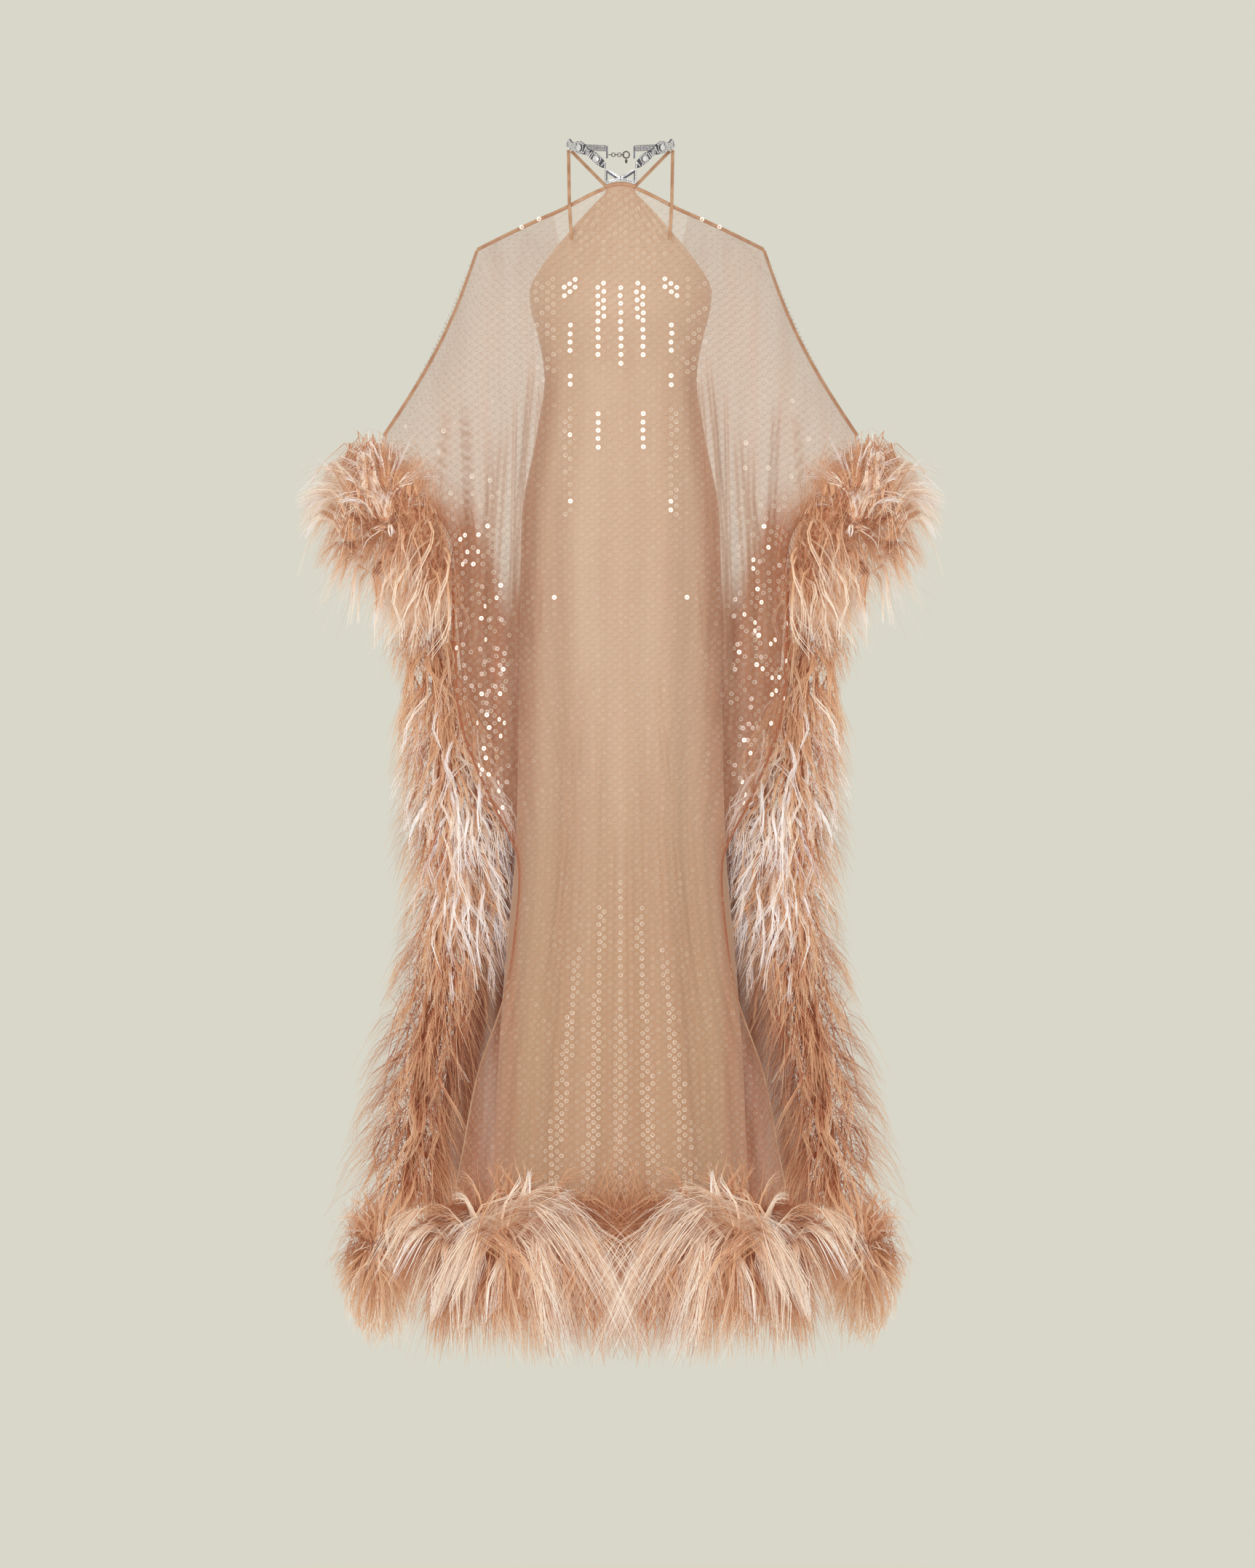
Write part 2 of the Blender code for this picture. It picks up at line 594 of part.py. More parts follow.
class Trim:
    """A sewn core along a path, with locks of feather grown from its faces."""

    taken = []

    def __init__(self, name, path, radius, facing, thin=0.6):
        self.name = name
        self.path = path
        self.rings = []
        last = len(path) - 1
        for i, centre in enumerate(path):
            along = (path[min(i + 1, last)] - path[max(i - 1, 0)]).normalized()
            side = (facing - along * along.dot(facing)).normalized()
            other = along.cross(side)
            ends = math.sin(math.pi * (i + 0.8) / (last + 1.6)) ** 0.35
            reach = radius * mix(thin, 1.0, ends)
            self.rings.append([
                centre + (side * math.cos(k * math.tau / CORE_SIDES)
                          + other * math.sin(k * math.tau / CORE_SIDES)) * reach
                for k in range(CORE_SIDES)
            ])
            for point in self.rings[-1]:
                point.x = max(point.x, SEAM_GAP)
            Trim.taken.append((centre.copy(), reach * 0.85, name, (i, -1)))

    def build(self, style, finish, collection):
        """style gives a lock's direction, length and droop, or nothing for a bare face."""
        bm = bmesh.new()
        grid = ringed(bm, self.rings)
        for i in range(len(grid) - 1):
            for k in range(CORE_SIDES):
                if (i + k) % 2:
                    continue
                j = (k + 1) % CORE_SIDES
                corners = [grid[i][k], grid[i][j], grid[i + 1][j], grid[i + 1][k]]
                middle = sum((c.co for c in corners), Vector()) / 4
                axis = (self.path[i] + self.path[i + 1]) / 2
                out = (middle - axis).normalized()
                growth = style(middle, out, i / (len(grid) - 1))
                if growth:
                    self.grow(bm, corners, middle, out, growth, (i, k))
        right = place(self.name + "_R", mesh_from(bm, self.name + "_R"), finish, collection)
        mirrored(self.name + "_L", right, finish, collection)

    def grow(self, bm, corners, middle, out, growth, root):
        """One curved, tapered lock on a face, shorter where it would meet another."""
        lean, length, droop = growth
        spines = (self.spine(middle, lean, length * share, droop) for share in LOCK_SHARES)
        spine = next((found for found in spines if self.clear(found, root)), None)
        if not spine:
            return
        breadth = max((c.co - middle).length for c in corners)
        face = bm.faces.get(corners)
        bm.faces.remove(face)
        previous = corners
        for point, way, scale in spine[1:-1]:
            turn = out.rotation_difference(way)
            ring = [bm.verts.new(point + turn @ (c.co - middle) * scale) for c in corners]
            for a in range(4):
                b = (a + 1) % 4
                bm.faces.new((previous[a], previous[b], ring[b], ring[a]))
            previous = ring
        tip = bm.verts.new(spine[-1][0])
        for a in range(4):
            bm.faces.new((previous[a], previous[(a + 1) % 4], tip))
        for point, _, scale in spine[1:]:
            Trim.taken.append((point, breadth * scale + LOCK_ROOM, self.name, root))

    @staticmethod
    def spine(start, lean, length, droop):
        """Points, directions and scales along a lock that bends down by its own weight."""
        points = []
        for t, scale in LOCK_FORM:
            way = (lean + DOWN * droop * 2 * t).normalized()
            points.append((start + (lean * t + DOWN * droop * t * t) * length, way, scale))
        return points

    def clear(self, spine, root):
        """True if the lock keeps off the panels and off every lock and core so far."""
        for i, (point, _, scale) in enumerate(spine[1:], 1):
            radius = LOCK_REACH * scale + LOCK_ROOM
            if point.x < radius:
                return False
            between = (point + spine[i - 1][0]) / 2
            if any(inside_gown(place, radius + CLOTH_ROOM) for place in (point, between)):
                return False
            for centre, other, name, place_of in Trim.taken:
                near = name == self.name and abs(place_of[0] - root[0]) <= 2
                if near and place_of[1] < 0:
                    continue
                share = 0.45 if near else 1.0
                if (point - centre).length < (radius + other) * share:
                    return False
        return True


def inside_gown(point, margin):
    """True where a lock would run into the net panels or the space between them."""
    x, z = abs(point.x), point.z
    if z > WRIST_Z:
        return x < WRIST_X + margin and abs(point.y) < 0.12
    front = column(NET, "front_x", z) + margin
    back = column(NET, "back_x", z) + margin
    if z < PANEL_HEM_Z - margin:
        return False
    half = column(SLIP, "half", z) + margin
    if x < half and abs(point.y) < 0.16:
        return True
    depth = mix(column(NET, "front_y", z), column(NET, "front", z),
                math.sqrt(max(0.0, 1 - min(1.0, x / front) ** 2)))
    if x < front and -depth - margin - FOLD_ROOM < point.y < -depth + margin + INNER_ROOM:
        return True
    depth = mix(column(NET, "back_y", z), column(NET, "back", z),
                math.sqrt(max(0.0, 1 - min(1.0, x / back) ** 2)))
    return x < back and depth - margin - INNER_ROOM < point.y < depth + margin + FOLD_ROOM


def outward(points, reach):
    """Points moved off a panel's edge: away from the centre line, square to the edge."""
    moved = []
    for i, point in enumerate(points):
        along = (points[min(i + 1, len(points) - 1)] - points[max(i - 1, 0)]).normalized()
        away = Vector((math.copysign(1, point.x), 0, 0))
        away = (away - along * away.dot(along)).normalized()
        moved.append(point + away * (reach + CLOTH / 2 + SEAM_GAP))
    return moved


def edge_between(side, high, low):
    """Points down a panel's free edge: each section's end, and one between each two."""
    edge = [row[-1] for row in net_rows(side, FRONT_LEVELS if side < 0 else BACK_LEVELS)]
    found = []
    for above, below in zip(edge, edge[1:]):
        found += [point for point in (above, above.lerp(below, 0.5)) if high >= point.z >= low]
    return found


def cuff_path():
    front = outward(edge_between(-1, CUFF_FROM, CUFF_TO)[::-1], CUFF_CORE)
    back = outward(edge_between(1, CUFF_FROM, CUFF_TO), CUFF_CORE)
    return front + [CUFF_TOP] + back


def cuff_style(middle, out, along):
    """Out from the heart of the cuff all round, bending down."""
    lean = (out * 0.8 + (middle - CUFF_HEART).normalized() * 0.8).normalized()
    if lean.x < -0.3 and abs(lean.y) < 0.5:
        return None
    rise = max(0.0, lean.z)
    return lean, mix(0.085, 0.060, rise), mix(0.55, 0.75, rise)


def side_style(middle, out, along):
    """Forward, outward and down; short behind, none towards the back panel."""
    if along > TUFT_FROM:
        if out.x < -0.2:
            return None
        return (out + DOWN * 1.3).normalized(), 0.120, 0.35
    if out.y > 0.75:
        return (out + DOWN * 0.5).normalized(), 0.050, 0.5
    lean = (out + Vector((0, -0.25, -0.35))).normalized()
    if lean.x < -0.35 and lean.y > -0.35:
        return None
    return lean, mix(0.075, 0.090, along), 0.75


def front_hem_style(middle, out, along):
    """Up, out and down in a fan from FAN_X; none behind, towards the slip."""
    if out.y > 0.35:
        return None
    lean = out + Vector(((middle.x - FAN_X) / 0.12, -0.25, 0))
    if out.z > 0.3:
        return (lean + Vector((0, -0.7, 1.3))).normalized(), 0.165, 0.20
    return (lean + DOWN * 0.8).normalized(), 0.085, 0.55


def back_hem_style(middle, out, along):
    """Back and down."""
    if out.y < -0.35 or out.z > 0.75:
        return None
    return (out + DOWN * 0.7 + Vector((0, 0.2, 0))).normalized(), 0.080, 0.6


def hem_path(side, reach, last):
    """Just under a panel's hem, from the centre to one side."""
    path = []
    for i in range(HEM_STATIONS + 1):
        edge = net_point(mix(0.002, last, i / HEM_STATIONS), 1.0, side)
        path.append(edge + Vector((SEAM_GAP, side * HEM_FORWARD, -reach - SEAM_GAP)))
    return path


def feathers(finish, collection):
    across = Vector((1, 0, 0))
    side_path = outward(edge_between(1, SIDE_FROM, SIDE_TO), SIDE_CORE)
    side_path.append(side_path[-1] + TUFT_DROP)
    cuff = Trim("cuff_feathers", cuff_path(), CUFF_CORE, across)
    side = Trim("side_feathers", side_path, SIDE_CORE, across)
    low = HEM_CORE - FRONT_HEM_LIFT
    front = Trim("hem_feathers_front", hem_path(-1, low, 0.97), HEM_CORE, UP)
    back = Trim("hem_feathers_back", hem_path(1, HEM_CORE, 0.90), HEM_CORE, UP)
    front.build(front_hem_style, finish, collection)
    back.build(back_hem_style, finish, collection)
    cuff.build(cuff_style, finish, collection)
    side.build(side_style, finish, collection)


def gown():
    for old in list(bpy.data.objects):
        bpy.data.objects.remove(old, do_unlink=True)
    collection = bpy.data.collections.new("kaftan")
    bpy.context.scene.collection.children.link(collection)
    slip = material("slip_cloth", SLIP_COLOUR, 0.6)
    net = material("sequin_net", NET_COLOUR, 0.55)
    tape = material("tan_tape", TAPE_COLOUR, 0.5)
    feather = material("feather", FEATHER_COLOUR, 0.8)
    crystal = material("crystal", CRYSTAL_COLOUR, 0.15, 0.6)
    metal = material("dark_metal", DARK_METAL, 0.3, 1.0)
    cloth("slip_front", slip_front_rows(), slip, collection)
    cloth("slip_back", slip_back_rows(), slip, collection)
    cloth("kaftan_front", net_rows(-1, FRONT_LEVELS), net, collection)
    cloth("kaftan_back", net_rows(1, BACK_LEVELS), net, collection)
    tapes(tape, collection)
    neck_band(tape, collection)
    straps(tape, collection)
    collar(crystal, metal, collection)
    feathers(feather, collection)


gown()
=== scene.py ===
"""Looks of the feather-trimmed halter kaftan gown: sheer sequined net over a slip.

Metres, +Z up, front towards -Y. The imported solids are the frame, and each piece here
follows the form of the solid that it stands for.
"""

import math

import bmesh
import bpy
import numpy as np
from mathutils import Matrix, Vector


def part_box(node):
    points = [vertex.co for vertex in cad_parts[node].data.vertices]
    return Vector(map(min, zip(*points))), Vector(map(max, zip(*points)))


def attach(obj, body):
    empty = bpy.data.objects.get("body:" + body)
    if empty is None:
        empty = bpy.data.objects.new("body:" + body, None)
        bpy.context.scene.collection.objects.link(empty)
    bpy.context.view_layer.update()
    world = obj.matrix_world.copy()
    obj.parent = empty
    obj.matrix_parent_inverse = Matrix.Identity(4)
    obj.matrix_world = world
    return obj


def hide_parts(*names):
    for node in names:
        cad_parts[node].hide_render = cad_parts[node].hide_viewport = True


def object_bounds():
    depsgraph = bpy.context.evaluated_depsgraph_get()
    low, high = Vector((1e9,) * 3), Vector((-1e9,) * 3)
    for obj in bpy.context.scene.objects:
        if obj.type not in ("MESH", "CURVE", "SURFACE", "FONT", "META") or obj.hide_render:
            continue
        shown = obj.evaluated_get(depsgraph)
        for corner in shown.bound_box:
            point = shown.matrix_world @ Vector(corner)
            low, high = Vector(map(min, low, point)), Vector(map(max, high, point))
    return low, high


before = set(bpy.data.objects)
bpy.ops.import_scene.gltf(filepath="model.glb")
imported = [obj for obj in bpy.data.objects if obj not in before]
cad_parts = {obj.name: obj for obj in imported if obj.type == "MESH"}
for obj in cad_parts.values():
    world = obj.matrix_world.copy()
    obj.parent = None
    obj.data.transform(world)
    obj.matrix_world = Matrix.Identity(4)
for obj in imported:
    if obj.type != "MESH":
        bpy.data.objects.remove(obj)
BOX = [tuple(corner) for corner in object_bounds()]

bl_info = {
    "name": "Feather-trimmed kaftan gown",
    "version": (1, 0),
    "blender": (4, 5, 0),
    "location": "3D View > Sidebar > Kaftan",
    "description": "Finishes the gown: slip, net, sequins, feathers, collar and studio",
    "category": "Object",
}


def metres(**rows):
    """A table of lengths that are written in millimetres."""
    return {name: [length / 1000 for length in row] for name, row in rows.items()}


# The form of the gown, as its solids have it

X, Y, Z = Vector((1, 0, 0)), Vector((0, 1, 0)), Vector((0, 0, 1))
FRONT, BACK = -1, 1
SIDE_NAMES = {FRONT: "front", BACK: "back"}
CLOTH, SEAM_GAP, LAYER_GAP = 0.0015, 0.0003, 0.0070
NECK_RADIUS, BAND_RADIUS = 0.066, 0.0690
NECK_HALF_WIDTH, NECK_Z, NECK_RISE = 0.020, -0.0475, 0.0040
BAND_REACH = math.degrees(math.asin(NECK_HALF_WIDTH / BAND_RADIUS))
SHOULDER = Vector((0.187, 0.0, -0.120))
WRIST = Vector((0.311, 0.0, -0.366))
SLIP_HEM_Z, PANEL_HEM_Z = -1.373, -1.400
SCOOP_Z, SCOOP_DEPTH = -0.165, 0.098
SKIRT_FOLDS, SLIP_BACK_DIP, ARM_ROUND = 13, 0.022, 0.075
# Where the parts of a panel's top edge end, as shares of its half width
NECK_END, SHOULDER_END, SCOOP_END = 0.10, 0.60, 0.30

SLIP = metres(
    z=[-45, -80, -120, -171, -200, -240, -285, -360, -460, -600, -746, -888, -1092.5,
       -1200, -1300, -1373],
    half=[120, 121, 122, 120, 117, 107, 99.5, 109, 128, 131, 133, 136, 153, 160, 164, 168],
    front=[60, 70, 88, 108, 112, 98, 83, 87, 100, 108, 115, 126, 142, 150, 158, 164],
    back=[80, 80, 80, 80, 79, 76, 73, 90, 106, 112, 118, 129, 146, 156, 164, 170],
    fold=[0, 0, 0, 0, 0, 0, 0.3, 0.8, 1.4, 2, 2.8, 3.4, 4, 4.4, 4.6, 4.8])
HALTER = metres(
    z=[-49, -70, -100, -130, -150, -163, -174, -186],
    half=[18.5, 40, 66.5, 91.5, 106, 114, 119, 119.5])
HALTER_TOP, SLIP_SIDE_TOP = HALTER["z"][0], HALTER["z"][-1]
NET = metres(
    z=[-45, -120, -240, -366, -500, -632, -750, -840, -917, -1012, -1092.5, -1200, -1300,
       -1400],
    front_x=[120, 190, 250, 311, 222, 217, 206, 170, 134, 138, 151, 187, 206, 226],
    front_y=[40, 40, 45, 46, 64, 80, 88, 92, 94, 98, 106, 112, 118, 124],
    back_x=[120, 190, 250, 311, 222, 212, 203, 197, 193, 200, 210, 228, 243, 256],
    back_y=[40, 40, 45, 46, 52, 50, 48, 48, 50, 56, 64, 78, 92, 106],
    front=[70, 95, 125, 110, 120, 128, 136, 143, 150, 158, 166, 178, 190, 202],
    back=[88, 90, 95, 112, 130, 140, 150, 160, 168, 180, 192, 208, 224, 240])
FOLDS = {
    FRONT: {
        "across": [0.10, 0.27, 0.42, 0.55, 0.68, 0.80, 0.91],
        "breadth": [0.060, 0.055, 0.050, 0.042, 0.045, 0.045, 0.040],
        **metres(top=[0.5, 2, 5, 4, 6, 5, 4], hem=[5, 9, 8, 10, 8, 9, 7])},
    BACK: {
        "across": [0.00, 0.18, 0.36, 0.54, 0.70, 0.86],
        "breadth": [0.070, 0.065, 0.065, 0.060, 0.055, 0.050],
        **metres(top=[2, 2, 3, 4, 4, 4], hem=[15, 12, 15, 12, 14, 10])},
}
COLLAR = {
    "turn": [17, 24, 31, 38, 46, 54, 62, 70, 80, 92, 104, 118, 132, 146, 163],
    **metres(
        z=[-14.5, -7.5, -3, 3, 8.5, 10.5, 11, 13, 15, 15.5, 15, 14, 13, 12.5, 12],
        wide=[8, 15, 15, 9, 15, 17, 12, 9, 14, 14, 9, 7.5, 7.5, 7.5, 7.5]),
}
COLLAR_THICK = 0.0026
ROSETTES = {"turn": [27, 51, 86], **metres(radius=[4.2, 4.8, 4.2])}

# Creases of the net that the solids are too coarse for: where each starts and ends
# (distance from the centre, height), its half breadth and its depth
CREASES = {
    FRONT: metres(
        top_x=[111, 101, 226, 150, 100, 128, 166, 40, 62, 136, 122, 186, 10, 26, 46],
        top_z=[-240, -270, -330, -330, -500, -480, -420, -640, -900, -270, -300, -560, -820,
               -700, -760],
        foot_x=[150, 124, 238, 176, 134, 158, 202, 106, 100, 146, 140, 170, 16, 44, 78],
        foot_z=[-640, -560, -470, -740, -920, -900, -700, -1180, -1390, -780, -760, -960,
                -1390, -1390, -1390],
        breadth=[3.5, 3, 4, 6, 5, 4.5, 5, 5, 6, 2.6, 2.4, 5, 5.5, 6, 6],
        depth=[3.5, 3, 3, 4, 3.5, 4, 4, 3, 3.5, 2.6, 2.4, 4, 1.6, 2, 2]),
    BACK: metres(
        top_x=[20, 52, 90, 130, 170, 205],
        top_z=[-260, -330, -240, -400, -330, -300],
        foot_x=[28, 70, 120, 155, 176, 190],
        foot_z=[-1150, -1350, -1200, -1380, -950, -640],
        breadth=[6, 5.5, 6, 6.5, 5, 5],
        depth=[4, 3.5, 4, 4.5, 4, 3.5]),
}

# Painted glints: where the sequins are painted pale or white, as if they caught the
# light: the middle of a zone, its half breadth, its top and foot, the share of its
# sequins that are painted, and how bright: 1 is white, about a half is a pale ring.
# The front net's zones lie by column, and those of both nets' sides by distance from
# the centre.
FRONT_SPARKS = {
    "at": [5, 8, 0, 13.5, 0, 3, 4, 8, 9, 10, 9, 9, 9, 9, 9, 4, 9.5, 12, 28],
    "breadth": [11, 11, 9, 2, *[0.4] * 12, 0.8, 0.4, 6],
    **metres(
        top=[-930, -1050, -50, -160, -172, -164, -164, -162, -166, -170, -214, -280, -338,
             -388, -452, -332, -330, -574, -310],
        foot=[-1050, -1400, -150, -300, -276, -222, -264, -178, -188, -192, -262, -310,
              -374, -410, -470, -386, -470, -585, -440]),
    "share": [0.45, 0.45, 0.50, 0.55, *[1.0] * 12, 0.5, 1.0, 0.05],
    "light": [0.22, 0.24, 0.34, 0.42, *[1.0] * 12, 0.42, 1.0, 0.7],
}
SIDE_SPARKS = {
    **metres(
        at=[190, 190, 168, 205, 165, 250], breadth=[48, 20, 18, 14, 18, 40],
        top=[-440, -480, -560, -600, -800, -340],
        foot=[-1100, -540, -820, -780, -900, -450]),
    "share": [0.35, 0.08, 0.14, 0.09, 0.10, 0.03],
    "light": [0.42, 1.0, 1.0, 1.0, 1.0, 0.7],
}
# Faint painted glints on a share of the other sequins
FAINT_SHARE, FAINT_LIGHT = 0.10, 0.22
# Bands of sequins painted as pale rings, a painted sheen, that fan out down the skirt:
# how far out each is at the top and at the hem, the height where it starts, and its light
SKIRT_BANDS = {
    **metres(high=[50, 24, 0], low=[90, 41, 0], start=[-1030, -980, -940]),
    "light": [0.56, 0.54, 0.44],
}
BANDS_TOP, BANDS_FOOT, BAND_BREADTHS, BAND_SHARE = -1.000, -1.330, (0.0045, 0.0115), 0.92


def mix(a, b, t):
    return a + (b - a) * t


def smooth(t):
    t = min(max(t, 0.0), 1.0)
    return t * t * (3 - 2 * t)


def rising(value, start, span):
    """0 before start, then a smooth step up to 1 over a span, which may run downward."""
    return smooth((value - start) / span)


def spread(count, low=0.0, high=1.0):
    """Even values from low to high, both included."""
    return [mix(low, high, i / (count - 1)) for i in range(count)]


def column(table, name, at, key="z"):
    """The value of a table's column, on a smooth curve through its rows."""
    places, values = np.array(table[key], float), np.array(table[name])
    if places[0] > places[-1]:
        places, values = places[::-1], values[::-1]
    slopes = np.gradient(values, places)
    at = min(max(at, places[0]), places[-1])
    i = min(int(np.searchsorted(places, at, side="right")) - 1, len(places) - 2)
    span = places[i + 1] - places[i]
    t = (at - places[i]) / span
    chord = (values[i + 1] - values[i]) / span
    start, end = np.clip(slopes[i:i + 2], -3 * abs(chord), 3 * abs(chord))
    return float(
        (2 * t**3 - 3 * t**2 + 1) * values[i]
        + (t**3 - 2 * t**2 + t) * span * start
        + (3 * t**2 - 2 * t**3) * values[i + 1]
        + (t**3 - t**2) * span * end
    )


def reader(table, steps=1400):
    """A quick way to look up a table's columns, read once at even heights."""
    at = np.linspace(PANEL_HEM_Z, table["z"][0], steps)
    read = {name: np.array([column(table, name, z) for z in at]) for name in table}
    return lambda name, z: float(np.interp(z, at, read[name]))


slip_size, net_size = reader(SLIP), reader(NET)


def measured(points):
    """The length of a line through points, and what gives the point at a length."""
    line = np.array([tuple(p) for p in points])
    steps = np.concatenate([[0], np.cumsum(np.linalg.norm(np.diff(line, axis=0), axis=1))])
    return steps[-1], lambda at: Vector([np.interp(at, steps, row) for row in line.T])


def circle(centre, first, second, radius, count):
    """Points round a circle, in the plane of two directions."""
    return [centre + (first * math.cos(k * math.tau / count)
                      + second * math.sin(k * math.tau / count)) * radius
            for k in range(count)]


def facing(way):
    """The turn that points a shape's own z along a direction."""
    return tuple(way.to_track_quat("Z", "Y").to_euler())


def on_ring(degrees, z, radius=NECK_RADIUS):
    """A point round the neck; 0 degrees is the centre front."""
    turn = math.radians(degrees)
    return Vector((radius * math.sin(turn), -radius * math.cos(turn), z))


def on_band(t, lift=0.0):
    """A point of the neck band's arch; t runs -1 to 1."""
    return on_ring(t * BAND_REACH, NECK_Z + NECK_RISE * math.cos(t * math.pi / 2) + lift,
                   BAND_RADIUS)


def slip_point(angle, z, side):
    """A point of the slip; angle runs from the centre line round to the side seam."""
    depth = slip_size(SIDE_NAMES[side], z)
    fold = slip_size("fold", z) * math.cos(angle * SKIRT_FOLDS)
    out = 1 + fold * math.sqrt(max(0.0, math.cos(angle))) / depth
    across = slip_size("half", z) * math.sin(angle) * out
    return Vector((across, side * (depth * math.cos(angle) * out + SEAM_GAP / 2), z))


def slip_depth(x, z, side):
    """How far the slip lies from the middle plane at x, or 0 beside it."""
    half = slip_size("half", z)
    if abs(x) >= half:
        return 0.0
    depth = slip_size(SIDE_NAMES[side], z) * math.sqrt(1 - (x / half) ** 2)
    return depth + slip_size("fold", z)


def slip_neck(t):
    """The slip's top edge, close behind the net under the neck band; t runs -1 to 1."""
    turn = math.degrees(math.asin(t * HALTER["half"][0] / BAND_RADIUS))
    rise = NECK_RISE * math.cos(t * math.pi / 2)
    return on_ring(turn, HALTER_TOP + rise, BAND_RADIUS - 2 * SEAM_GAP)


def top_line(across):
    """The shoulder line of both panels: neck band, shoulder point, wrist."""
    if across <= NECK_END:
        return on_band(across / NECK_END)
    if across <= SHOULDER_END:
        t = (across - NECK_END) / (SHOULDER_END - NECK_END)
        sway = math.sin(math.pi * t)
        neck = on_ring(BAND_REACH, NECK_Z, BAND_RADIUS)
        return neck.lerp(SHOULDER, t) + Vector((0, -0.010 * sway, 0.003 * sway))
    t = (across - SHOULDER_END) / (1 - SHOULDER_END)
    return SHOULDER.lerp(WRIST, t) - X * 0.013 * math.sin(math.pi * t)


def back_top(across):
    """Top of the back panel: the shoulder line, then a scoop behind the neck."""
    if across >= SCOOP_END:
        return top_line(across)
    edge = top_line(SCOOP_END)
    turn = across / SCOOP_END * math.pi / 2
    y = mix(SCOOP_DEPTH, edge.y, 1 - math.cos(turn) ** 0.8)
    z = mix(SCOOP_Z, edge.z, 1 - math.cos(turn))
    return Vector((edge.x * math.sin(turn) ** 0.9, y, z))


def fold_depth(table, across, down):
    """How far the folds stand out at this place across, growing from top to hem."""
    return sum(mix(top, hem, down) * math.exp(-(((across - middle) / breadth) ** 2))
               for middle, breadth, top, hem in zip(*table.values()))


def crease_depth(table, x, z):
    """How far the creases stand out here, and how much of the cloth they gather."""
    out, gather = 0.0, 0.0
    for top_x, top_z, foot_x, foot_z, breadth, depth in zip(*table.values()):
        t = (top_z - z) / (top_z - foot_z)
        if not 0 < t < 1:
            continue
        off = (abs(x) - mix(top_x, foot_x, t)) / breadth
        ends = smooth(t * 5) * smooth((1 - t) * 3)
        out += depth * math.exp(-off * off) * ends
        gather += math.exp(-(((abs(off) - 0.7) / 0.5) ** 2)) * ends
    return out, min(1.0, gather)


def net_point(across, down, side):
    """A point of the front or back panel, and how gathered it is."""
    u, name = abs(across), SIDE_NAMES[side]
    top = top_line(u) if side == FRONT else back_top(u)
    z = mix(top.z, PANEL_HEM_Z, down)
    edge = net_size(name + "_x", mix(WRIST.z, PANEL_HEM_Z, down))
    x = mix(top.x / WRIST.x, u, smooth(down * 1.6)) * edge
    reach = net_size(name + "_x", z)
    bulge = math.sqrt(max(0.0, 1 - min(1.0, x / reach) ** 2))
    depth = mix(net_size(name + "_y", z), net_size(name, z), bulge)
    depth = max(depth, slip_depth(x, z, side) + LAYER_GAP)
    depth += fold_depth(FOLDS[side], u, down) * smooth(down * 4)
    out, gather = crease_depth(CREASES[side], x, z)
    depth += out
    round_off = 1 - min(1.0, (top.z - z) / ARM_ROUND)
    leave = math.sqrt(max(0.0, 1 - round_off ** 2))
    start = side * top.y + (CLOTH + SEAM_GAP) / 2
    return Vector((math.copysign(x, across), side * mix(start, depth, leave), z)), gather


# Node trees

def operation(name, swapped=False):
    """A method that puts a Math node after an output, which may come second in it."""
    return lambda wire, *others: wire.nodes.math(
        name, *((*others, wire) if swapped else (wire, *others)))


class Wire:
    """An output of a node; an operation on it adds the Math node that works it out."""

    def __init__(self, nodes, socket):
        self.nodes, self.socket = nodes, socket

    __add__ = __radd__ = operation("ADD")
    __mul__ = __rmul__ = operation("MULTIPLY")
    __sub__, __rsub__ = operation("SUBTRACT"), operation("SUBTRACT", True)
    __truediv__ = operation("DIVIDE")
    least, most = operation("MINIMUM"), operation("MAXIMUM")

    def rise(self, low, high):
        """0 below low, 1 above high, and a smooth step between them."""
        return self.nodes.node(
            "ShaderNodeMapRange", {"interpolation_type": "SMOOTHSTEP"},
            {"Value": self, "From Min": low, "From Max": high})


class Nodes:
    """A node tree under construction."""

    def __init__(self, tree):
        self.tree = tree

    def node(self, kind, settings=None, sockets=None, output=0):
        """A node with its settings, then the values or links of its sockets."""
        made = self.tree.nodes.new(kind)
        for name, value in (settings or {}).items():
            setattr(made, name, value)
        for name, value in (sockets or {}).items():
            if isinstance(value, Wire):
                self.tree.links.new(value.socket, made.inputs[name])
            else:
                made.inputs[name].default_value = value
        return Wire(self, made.outputs[output])

    def math(self, operation, *values):
        return self.node("ShaderNodeMath", {"operation": operation}, dict(enumerate(values)))

    def vectors(self, operation, *values):
        return self.node(
            "ShaderNodeVectorMath", {"operation": operation}, dict(enumerate(values)))

    def stretched(self, vector, by):
        """A vector multiplied by a number that varies."""
        return self.node(
            "ShaderNodeVectorMath", {"operation": "SCALE"}, {0: vector, "Scale": by})

    def parts(self, vector):
        return [self.node("ShaderNodeSeparateXYZ", None, {0: vector}, i) for i in range(3)]

    def joined(self, x, y, z):
        return self.node("ShaderNodeCombineXYZ", None, {0: x, 1: y, 2: z})


